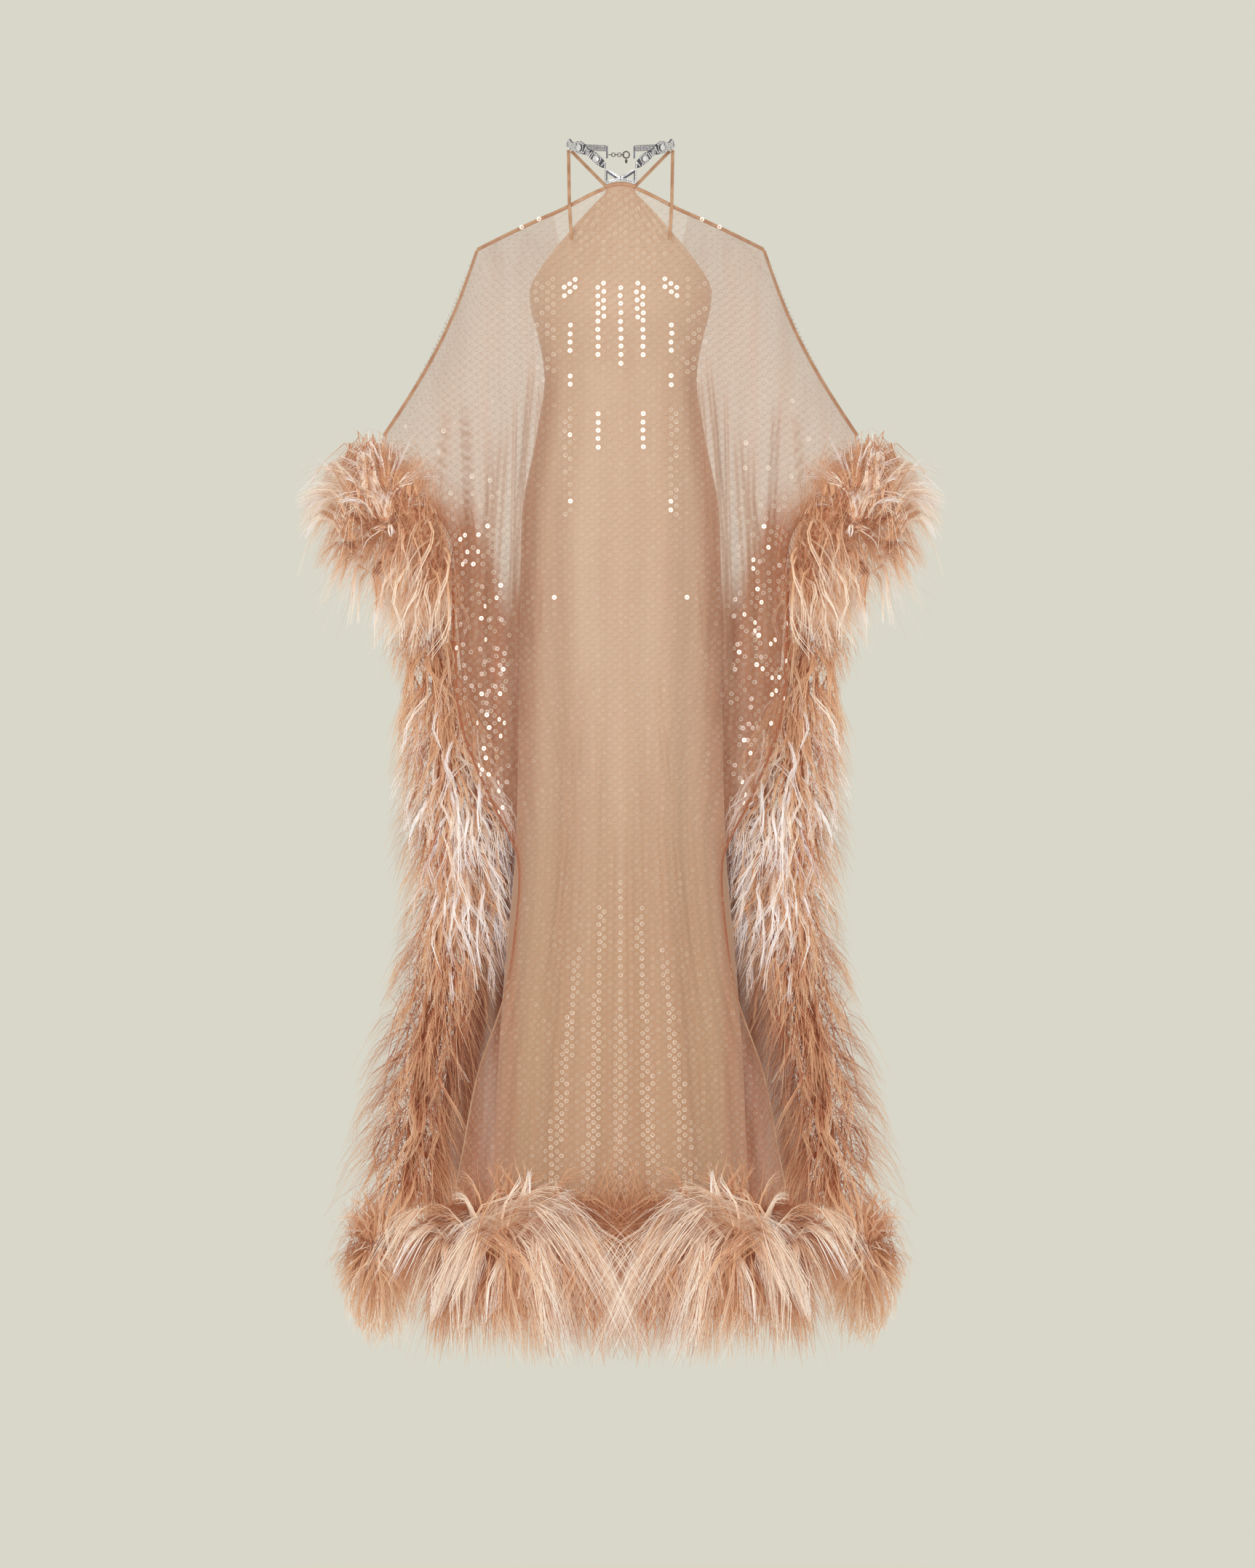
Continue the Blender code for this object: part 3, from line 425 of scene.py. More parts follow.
class Finish(Nodes):
    """A material of one Principled shader and what varies over its surface."""

    def __init__(self, name, **constants):
        self.material = bpy.data.materials.new(name)
        self.material.use_nodes = True
        super().__init__(self.material.node_tree)
        self.shader = self.tree.nodes["Principled BSDF"]
        for socket, value in constants.items():
            self.shader.inputs[socket.replace("_", " ").title()].default_value = value

    def feed(self, socket, value):
        self.tree.links.new(value.socket, self.shader.inputs[socket])

    def place(self):
        return self.node("ShaderNodeTexCoord", output=3)

    def attribute(self, name):
        return self.node("ShaderNodeAttribute", {"attribute_name": name}, output=2)

    def noise(self, vector, scale, detail=2.0):
        return self.node("ShaderNodeTexNoise", None,
                         {"Vector": vector, "Scale": scale, "Detail": detail})

    def grain(self, vector, scales, detail=1.0):
        """Noise that is stretched along the axes."""
        return self.noise(self.vectors("MULTIPLY", vector, scales), 1.0, detail)

    def down(self, place):
        """How far a place lies below the origin."""
        return 0.0 - self.parts(place)[2]

    def blend(self, share, first, second):
        """A colour between two, by a share that varies."""
        return self.node("ShaderNodeMix", {"data_type": "RGBA"},
                         {0: share, 6: whole(first), 7: whole(second)}, 2)

    def bump(self, height, distance, strength=1.0):
        made = self.node("ShaderNodeBump", None,
                         {"Height": height, "Distance": distance, "Strength": strength})
        self.feed("Normal", made)


def whole(colour):
    """A colour with its alpha, or the wire that carries one."""
    return colour if isinstance(colour, Wire) else (*colour[:3], 1.0)


class Growth(Nodes):
    """A Geometry Nodes tree with named inputs, which makes one mesh from a set of points."""

    def __init__(self, name, **inputs):
        tree = bpy.data.node_groups.new(name, "GeometryNodeTree")
        for way in ("OUTPUT", "INPUT"):
            tree.interface.new_socket("Geometry", in_out=way, socket_type="NodeSocketGeometry")
        for label, value in inputs.items():
            kind = "NodeSocketInt" if isinstance(value, int) else "NodeSocketFloat"
            socket = tree.interface.new_socket(
                label.replace("_", " ").capitalize(), in_out="INPUT", socket_type=kind)
            socket.default_value = value
        super().__init__(tree)
        wires = [Wire(self, socket) for socket in tree.nodes.new("NodeGroupInput").outputs]
        self.points, self.inputs = wires[0], dict(zip(inputs, wires[1:]))

    def named_value(self, name, kind="FLOAT_VECTOR"):
        return self.node("GeometryNodeInputNamedAttribute", {"data_type": kind}, {"Name": name})

    def stored(self, geometry, name, value):
        return self.node("GeometryNodeStoreNamedAttribute",
                         {"data_type": "FLOAT", "domain": "POINT"},
                         {"Geometry": geometry, "Name": name, "Value": value})

    def planted(self, shape, **sockets):
        """The shape on every point."""
        return self.node("GeometryNodeInstanceOnPoints", None,
                         {"Points": self.points, "Instance": shape, **sockets})

    def finished(self, geometry, material):
        """Ends the tree: instances made real, and the material set."""
        real = self.node("GeometryNodeRealizeInstances", None, {0: geometry})
        dressed = self.node("GeometryNodeSetMaterial", None,
                            {"Geometry": real, "Material": material})
        output = self.tree.nodes.new("NodeGroupOutput")
        self.tree.links.new(dressed.socket, output.inputs[0])
        return self

    def grow(self, name, points, values):
        """The mesh that the tree makes on a set of points with their named values."""
        mesh = bpy.data.meshes.new(name + "_points")
        mesh.from_pydata([tuple(p) for p in points], [], [])
        for label, value in values.items():
            data = np.array(value, dtype=np.float32)
            kind, key = ("FLOAT_VECTOR", "vector") if data.ndim == 2 else ("FLOAT", "value")
            mesh.attributes.new(label, kind, "POINT").data.foreach_set(key, data.ravel())
        seeds = bpy.data.objects.new(name + "_points", mesh)
        bpy.context.scene.collection.objects.link(seeds)
        seeds.modifiers.new("Growth", "NODES").node_group = self.tree
        graph = bpy.context.evaluated_depsgraph_get()
        grown = bpy.data.meshes.new_from_object(
            seeds.evaluated_get(graph), preserve_all_data_layers=True, depsgraph=graph)
        bpy.data.objects.remove(seeds)
        bpy.data.meshes.remove(mesh)
        return grown


# Pieces

def piece(name, mesh, stands_for=()):
    """A finished piece of the gown, riding on its body, in place of its solids."""
    made = bpy.data.objects.new(name, mesh)
    bpy.context.scene.collection.objects.link(made)
    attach(made, "root")
    if stands_for:
        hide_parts(*stands_for)
    return made


def flipped(mesh, name):
    """The mirror image of a mesh, for the left side."""
    other = mesh.copy()
    other.name = name
    other.transform(Matrix.Scale(-1, 4, (1, 0, 0)))
    other.flip_normals()
    return other


def both_sides(name, ending, mesh, replaces=True):
    """A piece for each side of the gown; the left one mirrors the right."""
    for letter in "RL":
        one = mesh if letter == "R" else flipped(mesh, f"{name}_{ending}_L")
        stands_for = [f"{name}_{letter}"] if replaces else ()
        piece(f"{name}_{letter}_{ending}", one, stands_for)


def dressed(node, material):
    """A solid shown as it is, in its finish."""
    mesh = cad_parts[node].data
    mesh.materials.clear()
    mesh.materials.append(material)


def cloth_mesh(name, rows, values, material):
    """A sheet through rows of points, with values at its corners and a flat cloth UV."""
    count = len(rows[0])
    mesh = bpy.data.meshes.new(name)
    faces = [(j * count + i, (j + 1) * count + i, (j + 1) * count + i + 1, j * count + i + 1)
             for j in range(len(rows) - 1) for i in range(count - 1)]
    mesh.from_pydata([tuple(p) for row in rows for p in row], [], faces)
    for label, grid in values.items():
        layer = mesh.attributes.new(label, "FLOAT", "POINT")
        layer.data.foreach_set("value", np.array(grid, dtype=np.float32).ravel())
    across, height = flat_cloth(rows)
    layer = mesh.uv_layers.new(name="cloth")
    corners = np.empty(len(mesh.loops), dtype=np.int32)
    mesh.loops.foreach_get("vertex_index", corners)
    flat = np.stack([across.ravel()[corners], height.ravel()[corners]], axis=1)
    layer.data.foreach_set("uv", flat.astype(np.float32).ravel())
    mesh.materials.append(material)
    mesh.shade_smooth()
    return mesh


def flat_cloth(rows):
    """Where each point lies on the flat cloth: round from the centre line, and its height."""
    grid = np.array([[tuple(p) for p in row] for row in rows])
    steps = np.linalg.norm(np.diff(grid[:, :, :2], axis=1), axis=2)
    across = np.concatenate([np.zeros((len(grid), 1)), np.cumsum(steps, axis=1)], axis=1)
    middle = grid.shape[1] // 2
    return across - across[:, middle:middle + 1], grid[:, :, 2]


def out_of_plane(mesh, side):
    """Turns a sheet's faces to the side that shows."""
    total = sum((poly.normal.y * poly.area for poly in mesh.polygons), 0.0)
    if total * side < 0:
        mesh.flip_normals()


# Cloth

# Faces across and down each sheet, and how much closer its rows lie near the top
SLIP_GRID, NET_GRID, ROW_EASE = (96, 100), (200, 124), 1.15
# How far the cloths run up behind the neck band, and the slip's gathers under it
EDGE_RISE = 0.0060
GATHER_DEPTH, GATHER_TURNS, GATHER_REACH = 0.0012, 34, 0.13


def slip_rows(side, columns, levels):
    """The slip's front or back, as fine rows from its top edge to its hem, and how far
    each point has turned away from the centre line."""
    rows, turned = [], []
    for j in range(levels + 1):
        row = []
        t = (j / levels) ** ROW_EASE
        for u in spread(columns + 1, -1.0):
            if side == BACK:
                angle = u * math.pi / 2
                top = SLIP_SIDE_TOP - SLIP_BACK_DIP * math.cos(angle) ** 2
                row.append(slip_point(angle, mix(top, SLIP_HEM_Z, t), BACK))
                continue
            z = mix(HALTER_TOP, SLIP_HEM_Z, t)
            reach = math.pi / 2
            if z > SLIP_SIDE_TOP:
                reach = math.asin(min(1.0, column(HALTER, "half", z) / slip_size("half", z)))
            point = slip_point(reach * u, z, FRONT)
            near = (HALTER_TOP - z) / (HALTER_TOP - HALTER["z"][1])
            if near < 1:
                point = slip_neck(u).lerp(point, smooth(near))
            point.z += EDGE_RISE * smooth(1 - near * 3)
            gathers = math.cos(u * GATHER_TURNS) * smooth(1 - (HALTER_TOP - z) / GATHER_REACH)
            point.y += GATHER_DEPTH * gathers * smooth(near * 2)
            row.append(point)
        rows.append(row)
        turned.append([abs(point.x) / slip_size("half", point.z) for point in row])
    return rows, turned


def neck_lift(across):
    """How far a panel's top edge runs up behind the neck band and its ends."""
    return EDGE_RISE * smooth(1.5 - abs(across) / NECK_END / 2)


def net_rows(side, columns, levels):
    """A net panel's fine rows of points, and how gathered it is at each."""
    rows, gathers = [], []
    places = spread(columns + 1, -1.0)
    for j in range(levels + 1):
        found = [net_point(across, (j / levels) ** ROW_EASE, side) for across in places]
        for across, (point, _) in zip(places, found):
            point.z += neck_lift(across) * smooth(1 - j / 3)
        rows.append([point for point, _ in found])
        gathers.append([gather for _, gather in found])
    return rows, gathers


def slip_finish(colours):
    """Jersey, darker in the skirt, with painted shade where it turns away at the sides."""
    finish = Finish("slip_jersey", roughness=0.55, sheen_weight=0.25, sheen_roughness=0.4)
    place = finish.place()
    down = finish.down(place)
    body = finish.blend(down.rise(0.55, 1.25), colours.slip, colours.slip_low)
    # Painted shade: the slip turns darker towards its sides, where it turns away
    edge = finish.attribute("turned").rise(0.72, 0.99) * down.rise(0.16, 0.34)
    body = finish.blend(edge, body, colours.slip_side_shade_and_cloud)
    cloudy = finish.grain(place, (14.0, 14.0, 2.5), 3.0)
    # Random clouds in the same darker tone
    body = finish.blend(cloudy.rise(0.35, 0.75) * 0.30, body, colours.slip_side_shade_and_cloud)
    finish.feed("Base Color", body)
    finish.bump(finish.grain(place, (900.0, 900.0, 1400.0)), 0.0003, 0.4)
    return finish.material


def net_finish(name, colours, cover, tan_cover):
    """Sheer net: see-through, denser in its gathers, tan where it bunches at the sides,
    with painted shade along its creases and in its folds, deeper lower down.
    """
    finish = Finish(name, roughness=0.6, sheen_weight=0.04, sheen_roughness=0.35)
    place = finish.place()
    down = finish.down(place)
    threads = finish.grain(place, (420.0, 420.0, 260.0))
    folds = finish.grain(place, (38.0, 12.0, 1.6), 2.0)
    gather = finish.attribute("gather") * (1.0 - down.rise(0.45, 0.80) * 0.5)
    veil = cover + gather * 0.42 + (threads - 0.5) * 0.16 + folds.rise(0.45, 0.75) * 0.10
    tan = finish.attribute("bunched_shade") * (folds.rise(0.25, 0.70) * 0.25 + 0.75)
    alpha = veil + tan * tan_cover
    finish.feed("Alpha", alpha.least(0.97).most(0.04))
    pale = finish.blend(tan, colours.net, colours.tan)
    # Painted shade: the bunched net turns deeper tan in its folds and lower down
    deep_shade = folds.rise(0.35, 0.62) * 0.6 + down.rise(0.60, 1.05) * 0.4
    pale = finish.blend(tan * deep_shade, pale, colours.tan_shadow)
    # Painted shade: the net turns darker along its creases and gathers
    finish.feed("Base Color", finish.blend(gather * 0.9, pale, colours.pleat_shade))
    return finish.material


def bunching_and_shade(rows, side):
    """Where the net bunches at the sides, behind the arms, so that it shows tan: partly
    its denser layers, and partly painted shade: along the front panel's folded edge, in a
    strip beside the slip, and on the back panel behind the arms.
    """
    grid = []
    for row in rows:
        line = []
        for point in row:
            x, down = abs(point.x), -point.z
            low = rising(down, 0.410 + 0.11 * rising(x, 0.205, -0.06), 0.11)
            if side == BACK:
                faded = 1 - 0.2 * rising(down, 1.10, 0.14)
                line.append(low * rising(x, 0.095, 0.03) * faded)
            else:
                # Painted shade along the front panel's folded outer edge, and in a strip beside
                # the slip
                fold = smooth(1 - (row[-1].x - x) / 0.012) * rising(down, 1.14, -0.08)
                shade_strip = smooth(1 - abs(x - 0.142) / 0.016) * rising(down, 0.64, 0.16)
                line.append(low * max(0.35 * rising(x, 0.135, 0.03), fold, shade_strip * 0.45))
        grid.append(line)
    return grid


# The room left beside a panel's edges and at its ends, how far off a slope is read, and
# the least part of it that has to face forward or back for a sequin to lie there
EDGE_ROOM, END_ROOM, SLOPE_STEP, LEAST_FACING = 0.003, 0.004, 0.002, 0.16


def sequin_places(rows, across_pitch, down_pitch):
    """Points, outward slopes and columns of the sequins, staggered down a panel."""
    grid = np.array([[tuple(p) for p in row] for row in rows])
    across, _ = flat_cloth(rows)
    low = grid[-1, :, 2].min()
    columns = int(across.max() / across_pitch)
    places, slopes, ids = [], [], []
    for c in range(-columns, columns + 1):
        at = c * across_pitch
        line, beside = np.full((2, len(grid), 3), np.nan)
        for j, row in enumerate(grid):
            if across[j, 0] + EDGE_ROOM < at < across[j, -1] - EDGE_ROOM:
                line[j] = [np.interp(at, across[j], axis) for axis in row.T]
                beside[j] = [np.interp(at + SLOPE_STEP, across[j], axis) for axis in row.T]
        inside = ~np.isnan(line[:, 0])
        if inside.sum() < 2:
            continue
        offset = down_pitch / 2 if c % 2 else 0.0
        first = math.ceil((END_ROOM - line[inside][0, 2] - offset) / down_pitch)
        for n in range(first, int((-low - offset - END_ROOM) / down_pitch) + 1):
            z = -(n * down_pitch + offset)
            below = next((j for j in range(1, len(line)) if inside[j] and line[j, 2] <= z), 0)
            if below < 1 or not inside[below - 1] or line[below - 1, 2] < z:
                continue
            slope = np.cross(beside[below] - line[below], line[below] - line[below - 1])
            if abs(slope[1]) < LEAST_FACING * np.linalg.norm(slope):
                continue
            t = (line[below - 1, 2] - z) / max(1e-9, line[below - 1, 2] - line[below, 2])
            places.append(line[below - 1] * (1 - t) + line[below] * t)
            slopes.append(slope)
            ids.append(abs(c))
    return np.array(places), slopes, np.array(ids)


def turned_out(slopes, tilts, side):
    """Outward directions along the slopes, and the turns that face a disc there."""
    ways, turns = [], []
    for slope, tilt in zip(slopes, tilts):
        out = Vector(slope).normalized()
        if out.y * side < 0:
            out = -out
        ways.append(np.array(out))
        turns.append(facing((out + Vector(tilt)).normalized()))
    return np.array(ways), turns


def sparks(table, where, z, rng):
    """How bright a painted glint each sequin gets: 0 clear, about a half a pale ring,
    1 white.
    """
    bright = np.zeros(len(z))
    for centre, breadth, top, foot, share, light in zip(*table.values()):
        zone = (np.abs(where - centre) < breadth) & (z < top) & (z > foot)
        bright[zone & (rng.random(len(z)) < share)] = light
    bright[(bright == 0) & (rng.random(len(z)) < FAINT_SHARE)] = FAINT_LIGHT
    return bright


def skirt_sparks(across, z, rng):
    """How bright a painted glint the sequins of the skirt's fanned bands get."""
    bright = np.zeros(len(z))
    down = np.clip((BANDS_TOP - z) / (BANDS_TOP - BANDS_FOOT), 0.0, 1.0)
    for high, low, start, light in zip(*SKIRT_BANDS.values()):
        beside = np.abs(across - mix(high, low, down))
        zone = (beside < mix(*BAND_BREADTHS, down)) & (z < start)
        bright[zone & (rng.random(len(z)) < BAND_SHARE)] = light
    return bright


def sequin_finish(colours):
    """Clear sequins with a painted shade arc at the lower rim; those with painted glints
    show as pale rings, or white with a small hole and a painted glow."""
    finish = Finish("sequin", roughness=0.20, coat_weight=0.3)
    painted_glint = finish.attribute("painted_glint")
    across, up = finish.attribute("disc_x"), finish.attribute("disc_y")
    reach = finish.math("SQRT", across * across + up * up)
    low = across * 0.45 - up * 0.9
    # Painted shade: a dark arc on the lower side of each sequin's rim
    rim_shade = reach.rise(0.76, 0.90) * low.rise(-0.30, 0.45)
    ring = reach.rise(0.42, 0.62)
    hole = 1.0 - reach.rise(0.14, 0.30)
    # Painted glints: pale rings and white sequins, where the tables put them
    white, pale = painted_glint.rise(0.62, 0.92), painted_glint.rise(0.08, 0.60)
    shown = 0.06 + rim_shade * (1.0 - pale * 0.8) * 0.52
    shown = shown + pale * (0.10 + ring * 0.30) + white * 0.60
    disc = 1.0 - reach.rise(0.96, 1.0)
    finish.feed("Alpha", (shown * (1.0 - hole * 0.7)).least(1.0) * disc)
    tint = finish.blend(rim_shade * (1.0 - pale), colours.sequin, colours.sequin_rim_shade)
    finish.feed("Base Color", finish.blend(hole * white, tint, colours.tan))
    # Painted glow: the white glints give off light of their own
    glow = finish.blend(white * (1.0 - hole), (0.0, 0.0, 0.0), (0.45, 0.45, 0.44))
    finish.feed("Emission Color", glow)
    finish.shader.inputs["Emission Strength"].default_value = 1.0
    return finish.material


def sequin_growth(material, radius):
    """Dished six-sided discs, which the finish cuts round, one on each point given."""
    tree = Growth("Sequins", radius=radius, dish=0.0004, sides=6)
    radius = tree.inputs["radius"]
    disc = tree.node("GeometryNodeMeshCircle", {"fill_type": "TRIANGLE_FAN"},
                     {"Vertices": tree.inputs["sides"], "Radius": radius * 1.16})
    here = tree.node("GeometryNodeInputPosition")
    reach = tree.node("ShaderNodeVectorMath", {"operation": "LENGTH"}, {0: here}, 1)
    x, y, _ = tree.parts(here)
    disc = tree.stored(disc, "disc_x", x / radius)
    disc = tree.stored(disc, "disc_y", y / radius)
    lift = tree.joined(0.0, 0.0, reach / radius * tree.inputs["dish"])
    disc = tree.node("GeometryNodeSetPosition", None, {"Geometry": disc, "Offset": lift})
    return tree.finished(tree.planted(disc, Rotation=tree.named_value("turn")), material)


# Feathers

CUFF_CORE, SIDE_CORE, HEM_CORE = 0.026, 0.028, 0.022
CUFF_TOP_Z, CUFF_TAIL_Z, CUFF_LOW_Z = -0.390, -0.470, -0.560
SIDE_TOP_Z, SIDE_LOW_Z = -0.602, -1.395
CUFF_HEART = Vector((0.305, 0.0, -0.482))
TUFT_HEART = Vector((0.318, 0.100, -1.440))
# A hem trim's last point, as a share of the panel's half width, and its fan's middle
HEM_ENDS = {FRONT: 0.97, BACK: 0.90}
FAN_X, FAN_BREADTH = 0.155, 0.12
# How many families of locks share a curve, and the number of the first one's seed
FAN_FAMILIES, FAN_SEED = 280, 700
CUFF_FAMILIES, CUFF_SEED = 320, 1500
SIDE_LIMITS = metres(
    down=[540, 600, 650, 710, 765, 820, 880, 940, 990, 1050, 1110, 1165, 1220, 1280, 1335,
          1390, 1450, 1510, 1560],
    inner=[214, 219, 222, 215, 185, 160, 147, 142, 143, 147, 157, 168, 178, 186, 192, 206,
           232, 258, 285],
    outer=[345, 334, 308, 284, 296, 302, 298, 300, 292, 296, 312, 330, 342, 352, 372, 386,
           380, 360, 322])
# How far down the side trim's tiers change, and over what length: they turn pale, reach
# inward, turn dark again, lie low and end in the tuft
PALE_TIERS, INNER_TIERS, DARK_TIERS = (0.68, 0.08), (0.72, 0.08), (0.97, 0.12)
LOW_TIERS, TUFT_TIERS = (0.98, 0.16), (1.32, 0.06)
LOOSE_LIMIT, BOX_ROOM = 0.006, 0.012
CURLED_STRANDS = 4


def edge_line(side, high, low, count):
    """Points down a panel's free edge, between two heights."""
    return [net_point(1.0, (WRIST.z - z) / (WRIST.z - PANEL_HEM_Z), side)[0]
            for z in spread(count, high, low)]


def moved_out(points, reach):
    """Points moved off a panel's edge, away from the centre line."""
    moved = []
    for before, point, after in zip([points[0], *points], points, [*points[1:], points[-1]]):
        along = (after - before).normalized()
        away = (X - along * along.x).normalized()
        moved.append(point + away * (reach + CLOTH / 2 + SEAM_GAP))
    return moved


def cuff_path():
    """The line of a cuff's core: up the front edge, over the wrist and down the back."""
    front = moved_out(edge_line(FRONT, CUFF_LOW_Z, CUFF_TOP_Z, 8), CUFF_CORE)
    back = moved_out(edge_line(BACK, CUFF_TOP_Z, CUFF_LOW_Z, 8), CUFF_CORE)
    return [*front, WRIST + Vector((0.020, 0, -0.030)), *back]


def side_path():
    """The line of a side trim's core, down the back panel's edge and past its hem."""
    path = moved_out(edge_line(BACK, SIDE_TOP_Z, SIDE_LOW_Z, 26), SIDE_CORE)
    return [*path, path[-1] + Vector((0.006, 0, -0.034))]


def hem_path(side):
    """The line of a hem trim's core, out from the centre line."""
    return [net_point(across, 1.0, side)[0] + Vector((0, side * 0.004, -HEM_CORE))
            for across in spread(20, 0.004, HEM_ENDS[side])]


FAN_HEART = min(hem_path(FRONT), key=lambda point: abs(point.x - FAN_X))


def family(rng, first, count):
    """The random numbers that one of the families of locks has in common."""
    return np.random.default_rng(first + int(rng.integers(count)))


def cuff_growth(middle, out, radius, rng, long):
    """A full ball of feathers round the sleeve's end, and a tail below it."""
    if middle.z < CUFF_TAIL_Z and rng.random() < 0.55:
        start = middle + out * radius * (0.9 if long else 0.6)
        fall = rng.uniform(0.060, 0.115) if long else rng.uniform(0.04, 0.105)
        tip = start + Vector((rng.normal(0.022, 0.022), rng.normal(-0.005, 0.015), -fall))
        shade = rng.uniform(0.60, 0.92) if long else rng.uniform(0.30, 0.52)
        return start, tip, rng.uniform(0.2, 0.5), shade
    kin = family(rng, CUFF_SEED, CUFF_FAMILIES) if long else rng
    pale = kin.random() < 0.30
    over = kin.uniform(0, 1) if long else rising(middle.z, -0.46, 0.05)
    toward = Vector() if long else (middle - CUFF_HEART).normalized() * 0.35
    way = Vector(kin.normal(0, 0.66, 3)) + toward + Vector((0.30, -0.25, 0.6 * over))
    way.normalize()
    wide = mix(0.128, 0.090, max(0.0, -way.z)) if way.x > 0 else 0.095
    ball = Vector((wide, 0.085, 0.106 if way.z > 0 else 0.150))
    full = kin.uniform(0.92, 1.08) if pale and long else kin.uniform(0.65, 0.98)
    tip = CUFF_HEART + Vector(a * b for a, b in zip(way, ball)) * full
    if not long:
        shade = rng.uniform(0.34, 0.72)
        return middle + out * radius * 0.6, tip, rng.uniform(0.35, 0.7), shade
    near = kin.uniform(0.05, 0.55)
    start = CUFF_HEART + Vector((way.x * ball.x * near, math.copysign(0.070, way.y - 0.18),
                                 way.z * ball.z * near))
    shade = kin.uniform(0.74, 1.10) if pale else kin.uniform(0.36, 0.72)
    curl = across_of(way, kin) * kin.uniform(0.005, 0.030)
    start += Vector(rng.normal(0, 0.0016, 3))
    tip += Vector(rng.normal(0, 0.0035, 3))
    return start, tip, kin.uniform(0.6, 1.3), shade, curl


def side_growth(middle, out, radius, rng, long):
    """Tiers that hang down and outward, white locks in the upper middle, a tuft below."""
    down = -middle.z
    low, tuft = rising(down, *LOW_TIERS), rising(down, *TUFT_TIERS)
    pale = rising(down, *PALE_TIERS) * (1 - rising(down, *DARK_TIERS))
    if tuft > rng.uniform(0.2, 0.8) or rng.random() < 0.09:
        return tuft_lock(rng, long)
    if long:
        if out.y > 0.35 or rng.random() > 0.40 + 0.60 * pale:
            return None
        inward = rng.uniform(0.0, 0.060) * rising(down, *INNER_TIERS) * (1 - low)
        start = middle + out * radius * rng.uniform(0.8, 1.3)
        start += Vector((-inward * 0.6, -0.008, 0.010))
        fall = Vector((rng.normal(0, 0.30) + 0.45 * low, -0.20, -1.0)).normalized()
        tip = start + fall * rng.uniform(0.055, 0.100) + out * 0.020 - X * inward * 0.5
        white = rng.random() < 0.72 * pale
        shade = rng.uniform(1.00, 1.30) if white else rng.uniform(0.28, 0.66)
        return start, tip, rng.uniform(0.3, 0.8), shade - 0.10 * low
    fall = rng.uniform(0.03, 0.09)
    outward = rng.uniform(0.010, 0.060) + 0.030 * max(0.0, out.x)
    tip = middle + out * (radius + outward) - Vector((0, 0.010, fall))
    tip.x += low * rng.uniform(-0.080, 0.060)
    if down < PALE_TIERS[0]:
        tip.z += rng.uniform(0.0, 0.060)
    if out.y > 0.4:
        tip.y = min(tip.y, middle.y + radius + 0.030)
        tip.x -= rng.uniform(0.0, 0.050)
    shade = 0.34 - 0.14 * low + rng.normal(0, 0.12)
    return middle + out * radius * 0.6, tip, rng.uniform(0.5, 0.9), shade


def tuft_lock(rng, long):
    """A lock of the round tuft at the back panel's corner."""
    way = Vector((rng.normal(0, 0.8), rng.normal(-0.2, 0.7), rng.normal(-0.15, 0.8)))
    way.normalize()
    full = rng.uniform(0.85, 1.05) if long else rng.uniform(0.5, 0.95)
    ball = (0.068, 0.055, 0.105 if way.z > 0 else 0.125)
    tip = TUFT_HEART + Vector(a * b for a, b in zip(way, ball)) * full
    shade = rng.uniform(0.34, 0.78) if long else rng.uniform(0.18, 0.44)
    start = TUFT_HEART + way * 0.020 + Z * 0.015
    if long:
        start.y = TUFT_HEART.y - 0.035
    return start, tip, rng.uniform(0.3, 0.7), shade


def fountain_lock(rng, radius):
    """A lock of one of the families that spring from a fan's heart, all on one curve."""
    kin = family(rng, FAN_SEED, FAN_FAMILIES)
    turn = math.radians(kin.uniform(-165, 165))
    if abs(turn) < 0.9 and kin.random() < 0.6:
        turn *= 1.8
    aside, rise = math.sin(turn), math.cos(turn)
    upward = rise > 0.5
    if upward and rng.random() < 0.50:
        return None
    pale = kin.random() < 0.34
    start = FAN_HEART + Vector((kin.normal(0, 0.028) + aside * 0.012,
                                -radius * (1.5 if pale else 1.1),
                                radius * 0.6 + kin.normal(0, 0.009)))
    length = kin.uniform(0.080, 0.132) if upward else kin.uniform(0.085, 0.165)
    if abs(aside) > 0.3:
        length *= 0.74 if aside > 0 else 1.12
    tip = start + Vector((aside * 1.05, -0.28 if pale else -0.05,
                          rise * 0.85 - 0.60 * abs(aside))) * length
    curl = Vector((kin.normal(0, 0.12), 0, kin.normal(0, 0.06))) * length
    # Painted shade: the dark families lie behind the pale ones and darken the gaps
    shade = kin.uniform(0.60, 1.00) if pale else kin.uniform(0.00, 0.42)
    droop = kin.uniform(0.8, 1.1) * (0.7 if upward else 1.0) + 0.5 * abs(aside)
    start += Vector(rng.normal(0, 0.0013, 3))
    tip += Vector(rng.normal(0, 0.0028, 3))
    return start, tip, droop, shade + rng.normal(0, 0.06), curl


